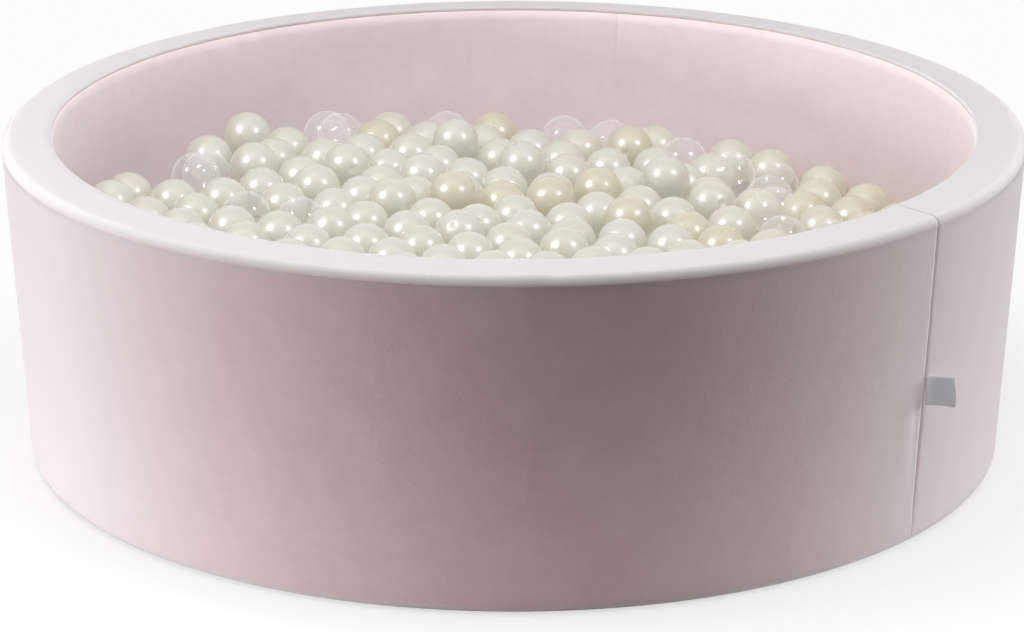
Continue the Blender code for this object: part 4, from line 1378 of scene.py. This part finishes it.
def zip_strip(zip_kind, name, across, width, start, sweep, steps, *nodes):
    """A strip of tape cloth along the zip, with its points at these places across it."""
    body, _, towards, carrier = ZIPS[zip_kind]
    points = [zip_section(zip_kind, far, TAPE_THICKNESS) for far in across]
    piece = strip_ring(
        name, points, towards, tape_cloth, TAPE_CLOTH_THICKNESS, start=start, sweep=sweep, steps=steps
    )
    on_body(piece, body, "zip_tape", *nodes)
    run = math.radians(sweep) * zip_section(zip_kind, min(across, key=abs), TAPE_THICKNESS)[0]
    return run


def zip_tape(zip_kind, word, side):
    """The tape on one side of the zip."""
    across = [
        side * (GAP / 2 + (TAPE_WIDTH - GAP / 2) * step / TAPE_DIVISIONS)
        for step in range(TAPE_DIVISIONS + 1)
    ]
    return zip_strip(
        zip_kind, f"{zip_kind}_{word}_cloth", across, TAPE_WIDTH,
        ZIP_START_ANGLE, ZIP_SWEEP, TAPE_STEPS, f"{zip_kind}_{word}_tape",
    )


def zip_closing(zip_kind):
    """The short strip that closes the cover between the zip's two ends."""
    across = [TAPE_WIDTH * (step / TAPE_DIVISIONS - 1.0) for step in range(2 * TAPE_DIVISIONS + 1)]
    start = ZIP_START_ANGLE + ZIP_SWEEP + CLOSING_GAP
    sweep = 360.0 - ZIP_SWEEP - 2.0 * CLOSING_GAP
    return zip_strip(zip_kind, f"{zip_kind}_closing", across, 2.0 * TAPE_WIDTH, start, sweep, CLOSING_STEPS)

# %% [markdown]
# A coil is a row of nylon loops. One six-sided rod across the tape stands for a loop, and an Array modifier
# repeats it round the ring, each copy turned a little further by an empty. With more than a thousand loops
# a side, each may have only a few faces.

# %% Tapes and coils
COIL_PITCH = 0.0024
TOOTH_LENGTH = 0.0021
TOOTH_SIDES = 6


def zip_tooth(zip_kind, word, side):
    """The first loop of a coil, and its distance from the pit's middle."""
    radius, height = zip_section(
        zip_kind, side * (GAP / 2 + COIL_WIDTH / 2), TAPE_THICKNESS + GAP + COIL_HEIGHT / 2
    )
    begin()
    bpy.ops.mesh.primitive_cylinder_add(
        vertices=TOOTH_SIDES,
        radius=COIL_HEIGHT / 2,
        depth=COIL_WIDTH,
        location=(radius, 0.0, height),
        rotation=(0.0, math.pi / 2 if zip_kind == "wall_zip" else 0.0, 0.0),
    )
    piece = named(f"{zip_kind}_{word}_teeth")
    bpy.ops.object.transform_apply(location=True, rotation=True, scale=True)
    open_whole(piece)
    stretch = (1.0, TOOTH_LENGTH / COIL_HEIGHT, 1.0)
    bpy.ops.transform.resize(value=stretch, center_override=(radius, 0.0, height))
    bpy.ops.object.mode_set(mode="OBJECT")
    return piece, radius


def zip_coil(zip_kind, word, side):
    """A coil: one loop repeated round the ring."""
    piece, radius = zip_tooth(zip_kind, word, side)
    step = COIL_PITCH / radius
    count = int(math.radians(ZIP_SWEEP) / step)
    turner = bpy.data.objects.new("tooth_turner", None)
    turner.rotation_euler = (0.0, 0.0, step)
    bpy.context.scene.collection.objects.link(turner)
    bpy.context.view_layer.update()
    modified(
        piece, "ARRAY", count=count, use_relative_offset=False, use_object_offset=True, offset_object=turner
    )
    bpy.data.objects.remove(turner)
    piece.rotation_euler = (0.0, 0.0, math.radians(ZIP_START_ANGLE) + step / 2)
    pick(piece)
    bpy.ops.object.transform_apply(location=True, rotation=True, scale=True)
    tidy(piece, zip_plastic, smooth=70.0, merge=0.000001)
    on_body(piece, ZIPS[zip_kind][0], "zip_coil", f"{zip_kind}_{word}_coil")
    return count


for zip_kind, (_, words, _, _) in ZIPS.items():
    for word, side in zip(words, (1.0, -1.0)):
        tape_run = zip_tape(zip_kind, word, side)
        teeth = zip_coil(zip_kind, word, side)
        print(zip_kind, word, "tape", round(tape_run, 3), "m,", teeth, "teeth")

# %% [markdown]
# The slider, the pull and the stops have the right form in the CAD model, but sharp edges. A cast piece has
# soft ones, so copies of these nodes get their edges rounded with a bevel.

# %% Closings, sliders, pulls and stops
EDGE_SOFTNESS = 0.00022
SHARPEST = 30.0


def softened(node, name, body):
    """A copy of a CAD node whose doubles are merged, flat faces joined and edges rounded."""
    begin()
    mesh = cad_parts[node].data.copy()
    piece = bpy.data.objects.new(name, mesh)
    mesh.name = name
    bpy.context.scene.collection.objects.link(piece)
    open_whole(piece)
    bpy.ops.mesh.remove_doubles(threshold=0.000005)
    bpy.ops.mesh.dissolve_limited(angle_limit=math.radians(2.0))
    bpy.ops.mesh.select_all(action="DESELECT")
    bpy.ops.mesh.select_mode(type="EDGE")
    bpy.ops.mesh.edges_select_sharp(sharpness=math.radians(SHARPEST))
    bpy.ops.mesh.bevel(offset=EDGE_SOFTNESS, segments=2, clamp_overlap=True)
    bpy.ops.object.mode_set(mode="OBJECT")
    tidy(piece, zip_plate, smooth=35.0, merge=0.000002)
    return on_body(piece, body, "zip_metal", node)


for zip_kind, (zip_body, _, _, _) in ZIPS.items():
    closing_run = zip_closing(zip_kind)
    fittings = [
        softened(f"{zip_kind}_slider", f"{zip_kind}_runner", f"{zip_kind}_slider"),
        softened(f"{zip_kind}_pull", f"{zip_kind}_tab", f"{zip_kind}_pull"),
        softened(f"{zip_kind}_start_stop", f"{zip_kind}_start_clamp", zip_body),
        softened(f"{zip_kind}_end_stop", f"{zip_kind}_end_clamp", zip_body),
    ]
    print(zip_kind, "closing", round(closing_run, 3), "m,", [piece.name for piece in fittings])

# %% [markdown]
# ## Where the balls lie
# The CAD model settled its balls by a small rule: balls drop, push each other apart and rest on a gently
# sloping pile. The same rule with the same seed gives the same places here, so each ball sits on its own
# bump of the CAD bed. Under them a second lot of balls is pushed apart the same way, down to the mat.

# %% Sizes of the pile, and the loose balls' places
BALL_DIAMETER = 0.062
BALL_RADIUS = BALL_DIAMETER / 2
PILE_FLOOR = 0.201
PILE_FALL = 0.020
PILE_MOUND_HEIGHT = 0.010
PILE_MOUND_SPREAD = 0.16
PILE_MOUND_SHARES = (-0.60, 0.72)
PILE_WALL_CLEARANCE = 0.0045
LOOSE_WALL_CLEARANCE = 0.011
BALL_SPACING = 0.0005
BED_BALLS = 246
BALL_SEED = 11
DROP_STEPS = 260
REST_STEPS = 60
DROP_SHARE = 0.03
DROP_TOP_SHARES = (0.5, 1.8)
HIGHEST_BED_SHARE = 0.45
MERGE_DISTANCE = 0.00003
LOOSE_BALL_SHARES = (
    # right, back and up as shares, and the kind
    (-0.79, 0.39, 0.25, "clear"),
    (-0.65, 0.50, 0.20, "pearl"),
    (-0.68, 0.71, 0.30, "pearl"),
    (-0.48, 0.78, 0.25, "clear"),
    (-0.49, 0.37, 0.15, "pearl"),
    (-0.44, 0.06, 0.10, "pearl"),
    (-0.42, 0.53, 0.20, "pearl"),
    (-0.30, 0.27, 0.20, "pearl"),
    (-0.23, 0.51, 0.15, "pearl"),
    (-0.15, 0.78, 0.30, "pearl"),
    (-0.15, 0.31, 0.30, "cream"),
    (-0.13, 0.05, 0.15, "pearl"),
    (0.02, 0.62, 0.25, "pearl"),
    (0.09, 0.34, 0.20, "cream"),
    (0.12, -0.04, 0.10, "pearl"),
    (0.21, 0.44, 0.20, "cream"),
    (0.28, 0.20, 0.20, "cream"),
    (0.30, 0.83, 0.20, "cream"),
    (0.38, 0.48, 0.40, "pearl"),
    (0.49, 0.36, 0.20, "pearl"),
    (0.55, 0.58, 0.30, "clear"),
    (0.64, 0.28, 0.30, "clear"),
)

# %% How balls push each other
def pushes(centres, least):
    """How far each ball is pushed by all that are nearer to it than the least distance."""
    away = centres[:, None, :] - centres[None, :, :]
    distance = np.linalg.norm(away, axis=2) + np.eye(len(centres))
    short = np.clip(least - distance, 0.0, None)
    np.fill_diagonal(short, 0.0)
    return (away / distance[:, :, None] * (short / 2)[:, :, None]).sum(axis=1)


def pushes_from(fixed, centres, least, never_up=False):
    """How far balls that hold still push the others, on request never upwards."""
    over = centres[:, None, :] - fixed[None, :, :]
    if never_up:
        over[:, :, 2] = np.minimum(over[:, :, 2], 0.0)
    distance = np.linalg.norm(over, axis=2) + MERGE_DISTANCE
    near = np.clip(least - distance, 0.0, None)
    return (over / distance[:, :, None] * near[:, :, None]).sum(axis=1)


def kept_within(centres, reach):
    """Move balls that are too far out back to the reach."""
    out = np.linalg.norm(centres[:, :2], axis=1)
    centres[:, :2] *= np.minimum(1.0, reach / out)[:, None]


def pile_reach():
    """How far out the centre of a ball in the top layers may lie."""
    return inner_radius(PILE_FLOOR + BALL_RADIUS) - BALL_RADIUS - PILE_WALL_CLEARANCE


def scattered(random, count):
    """Random places in plan, spread evenly over the circle."""
    turn = random.uniform(0.0, 2.0 * math.pi, count)
    out = pile_reach() * np.sqrt(random.uniform(0.0, 1.0, count))
    return out * np.cos(turn), out * np.sin(turn)


def pile_floor(plan):
    """What the top balls lie on: it falls to the right and has a low mound at the back left."""
    reach = pile_reach()
    fall = PILE_FALL * plan[:, 0] / reach
    apart = np.linalg.norm(plan - np.array(PILE_MOUND_SHARES) * reach, axis=1)
    return PILE_FLOOR - fall + PILE_MOUND_HEIGHT * np.exp(-((apart / PILE_MOUND_SPREAD) ** 2))

# %% Place the loose balls
def loose_places():
    """The loose balls' centres, moved apart in plan where two would touch."""
    shares = np.array([place[:3] for place in LOOSE_BALL_SHARES])
    plan = shares[:, :2] * pile_reach()
    for _ in range(DROP_STEPS):
        plan += pushes(plan, BALL_DIAMETER + 2 * BALL_SPACING)
    kept_within(plan, pile_reach() + PILE_WALL_CLEARANCE - LOOSE_WALL_CLEARANCE)
    return np.column_stack([plan, pile_floor(plan) + BALL_RADIUS + shares[:, 2] * BALL_DIAMETER])


loose_centres = loose_places()
print("loose balls", len(loose_centres))

# %% Settle the balls round them
def settle_balls(loose):
    """Let the other balls drop and push each other apart round the loose ones, never over them."""
    random = np.random.RandomState(BALL_SEED)
    plan = scattered(random, BED_BALLS)
    high = PILE_FLOOR + BALL_DIAMETER * random.uniform(*DROP_TOP_SHARES, BED_BALLS)
    centres = np.column_stack([*plan, high])
    touching = BALL_DIAMETER + BALL_SPACING
    for step in range(DROP_STEPS + REST_STEPS):
        if step < DROP_STEPS:
            centres[:, 2] -= BALL_DIAMETER * DROP_SHARE
        centres += pushes(centres, touching) + pushes_from(loose, centres, touching, never_up=True)
        kept_within(centres, pile_reach())
        centres[:, 2] = np.maximum(centres[:, 2], pile_floor(centres[:, :2]) + BALL_RADIUS)
    highest = pile_floor(centres[:, :2]) + BALL_RADIUS + BALL_DIAMETER * HIGHEST_BED_SHARE
    return centres[centres[:, 2] < highest]


top_centres = settle_balls(loose_centres)
print("balls in the top layers", len(top_centres))

# %% [markdown]
# Real pits are filled to the floor. Under the top layers a second lot of balls is thrown in at random and
# pushed apart between the mat and the balls above, which hold still.

# %% Fill the pit below
FILL_BALLS = 430
FILL_SEED = 5
FILL_STEPS = 160
FILL_WALL_CLEARANCE = 0.006


def fill_below(top):
    """Balls between the mat and the top layers, pushed apart and down while those above hold still."""
    random = np.random.RandomState(FILL_SEED)
    plan = scattered(random, FILL_BALLS)
    low = MAT_THICKNESS + BALL_RADIUS + GAP
    centres = np.column_stack([*plan, random.uniform(low, PILE_FLOOR - BALL_RADIUS, FILL_BALLS)])
    for _ in range(FILL_STEPS):
        centres += pushes(centres, BALL_DIAMETER) + pushes_from(top, centres, BALL_DIAMETER)
        kept_within(centres, inner_radius(centres[:, 2]) - BALL_RADIUS - FILL_WALL_CLEARANCE)
        centres[:, 2] = np.clip(centres[:, 2], low, PILE_FLOOR)
    return centres


deep_centres = fill_below(np.concatenate([loose_centres, top_centres]))
print("deeper balls", len(deep_centres))

# %% [markdown]
# ## The balls
# A play ball is blown plastic, so a faint line runs round it where the mould's halves met, with a small
# round mark at each pole. The loose balls and the clear ones in the top layers are fine spheres with that
# line and those marks modelled. The hundreds of others get few faces, and smooth shading makes them round.

# %% Models of the balls
LINE_SHARE = 0.001
LINE_WIDTH = 0.0008
LINE_RAISED = 1.0022
POLE_SHARE = 0.985
POLE_RING = 0.0005
POLE_DEPTH = 0.0003


def parting_line(piece):
    """Raise a fine ridge round the middle, and sink a small round mark at each pole."""
    open_whole(piece)
    choose(piece, lambda place: abs(place.z) < BALL_RADIUS * LINE_SHARE)
    bpy.ops.mesh.bevel(offset=LINE_WIDTH, segments=2, affect="EDGES")
    choose(piece, lambda place: abs(place.z) < BALL_RADIUS * LINE_SHARE)
    bpy.ops.transform.resize(value=(LINE_RAISED, LINE_RAISED, 1.0), center_override=(0.0, 0.0, 0.0))
    for pole in (-1.0, 1.0):
        choose(piece, lambda place: place.z * pole > BALL_RADIUS * POLE_SHARE)
        bpy.ops.mesh.inset(thickness=POLE_RING)
        bpy.ops.transform.translate(value=(0.0, 0.0, -pole * POLE_DEPTH))


def ball_model(name, subdivisions=None):
    """One ball at the middle of the scene: a fine one, or one with as few faces as the subdivisions give."""
    begin()
    if subdivisions is None:
        bpy.ops.mesh.primitive_uv_sphere_add(segments=40, ring_count=24, radius=BALL_RADIUS)
    else:
        bpy.ops.mesh.primitive_ico_sphere_add(subdivisions=subdivisions, radius=BALL_RADIUS)
    piece = named(name)
    if subdivisions is None:
        parting_line(piece)
    open_whole(piece)
    bpy.ops.mesh.normals_make_consistent(inside=False)
    bpy.ops.object.mode_set(mode="OBJECT")
    bpy.ops.object.shade_smooth()
    return piece


def placed_copy(model, name, place, turns, tint):
    """A copy of a model with its own mesh, turned, put in its place, with its tint on its points."""
    mesh = model.data.copy()
    mesh.name = name
    first, tilt, last = (Matrix.Rotation(turn, 4, axis) for turn, axis in zip(turns, "ZXZ"))
    mesh.transform(Matrix.Translation(Vector(place)) @ (first @ tilt @ last))
    attribute = mesh.attributes.new("ball_tint", "FLOAT", "POINT")
    attribute.data.foreach_set("value", np.full(len(mesh.vertices), tint, np.float32))
    piece = bpy.data.objects.new(name, mesh)
    bpy.context.scene.collection.objects.link(piece)
    return piece


models = {
    "loose": ball_model("loose_ball"),
    "top": ball_model("top_ball", subdivisions=3),
    "deep": ball_model("deep_ball", subdivisions=2),
}
print({layer: len(model.data.polygons) for layer, model in models.items()})

# %% [markdown]
# The photograph shows three kinds: pearl white, cream and clear. The kinds of the loose balls are in their
# table. In the top layers the balls nearest to the places below are clear or cream, and the rest are pearl.

# %% Which ball has which finish
CLEAR_TOP_SHARES = (
    (-0.56, 0.17), (-0.65, 0.14), (-0.50, 0.95), (-0.82, 0.54), (-0.07, 1.0), (0.09, 1.0), (0.19, 0.96),
    (0.39, 0.85), (0.66, 0.65), (0.64, 0.48), (0.62, 0.13), (0.75, 0.17),
)
CREAM_TOP_SHARES = (
    (-0.31, 0.85), (0.01, 1.0), (-0.03, 0.32), (0.71, 0.41), (0.79, 0.38), (0.86, 0.26), (0.50, 0.08),
    (0.34, 0.17), (0.85, 0.10), (0.80, -0.05), (-0.45, -0.50), (0.10, -0.62), (0.42, -0.35),
)
TINTS = {"pearl": 0.25, "cream": 0.95, "clear": 0.4}
TINT_SEED = 3
TINT_SPREAD = 0.16
CREAMIER_FROM = 0.45
CREAMIER_RISE = 1.2


def top_finishes(centres):
    """Clear and cream for the balls nearest to the places where the photograph shows them."""
    kinds = ["pearl"] * len(centres)
    for kind, spots in (("cream", CREAM_TOP_SHARES), ("clear", CLEAR_TOP_SHARES)):
        for spot in spots:
            apart = np.linalg.norm(centres[:, :2] - np.array(spot) * pile_reach(), axis=1)
            free = [index for index in np.argsort(apart) if kinds[index] == "pearl"]
            kinds[free[0]] = kind
    return kinds


def tint_of(kind, place, chance):
    """Balls at the right end are creamier."""
    right = max(0.0, place[0] / pile_reach() - CREAMIER_FROM)
    return limited(TINTS[kind] + CREAMIER_RISE * right + TINT_SPREAD * (chance - 0.5))


tint_random = np.random.RandomState(TINT_SEED)
kinds = top_finishes(top_centres)
print({kind: kinds.count(kind) for kind in TINTS})

# %% The loose balls
for number, (centre, row) in enumerate(zip(loose_centres, LOOSE_BALL_SHARES), start=1):
    kind = row[3]
    turns = tint_random.uniform(0.0, 2.0 * math.pi, 3)
    tint = tint_of(kind, centre, tint_random.uniform())
    piece = placed_copy(models["loose"], f"loose_ball_{number:02d}", centre, turns, tint)
    piece.data.materials.append(clear_plastic if kind == "clear" else pearl_plastic)
    on_body(piece, f"ball_{number:02d}", f"{kind}_ball", f"ball_{number:02d}")
print("loose balls", len(loose_centres))

# %% [markdown]
# The other balls are one CAD node, because a part may have only so many, so they ride on one body. They are
# joined into one piece for each kind.

# %% The balls under them
def ball_heap(name, finish, slot, balls, *nodes):
    """Join many balls, given as (model, place, tint), into one piece."""
    begin()
    copies = []
    for index, (model, place, tint) in enumerate(balls):
        turns = tint_random.uniform(0.0, 2.0 * math.pi, 3)
        copies.append(placed_copy(model, f"{name}_{index}", place, turns, tint))
    for copy in copies:
        copy.select_set(True)
    bpy.context.view_layer.objects.active = copies[0]
    bpy.ops.object.join()
    piece = named(name)
    piece.data.materials.append(finish)
    return on_body(piece, "ball_bed", slot, *nodes)


heaps = {"pearl": [], "cream": [], "clear": []}
for kind, centre in zip(kinds, top_centres):
    model = models["loose" if kind == "clear" else "top"]
    heaps[kind].append((model, centre, tint_of(kind, centre, tint_random.uniform())))
for centre in deep_centres:
    heaps["pearl"].append((models["deep"], centre, tint_of("pearl", centre, tint_random.uniform())))
ball_heap("pearl_balls", pearl_plastic, "pearl_ball", heaps["pearl"], "ball_bed")
ball_heap("cream_balls", pearl_plastic, "cream_ball", heaps["cream"])
ball_heap("clear_balls", clear_plastic, "clear_ball", heaps["clear"])
for model in models.values():
    bpy.data.objects.remove(model)
print("heaps", {kind: len(balls) for kind, balls in heaps.items()})
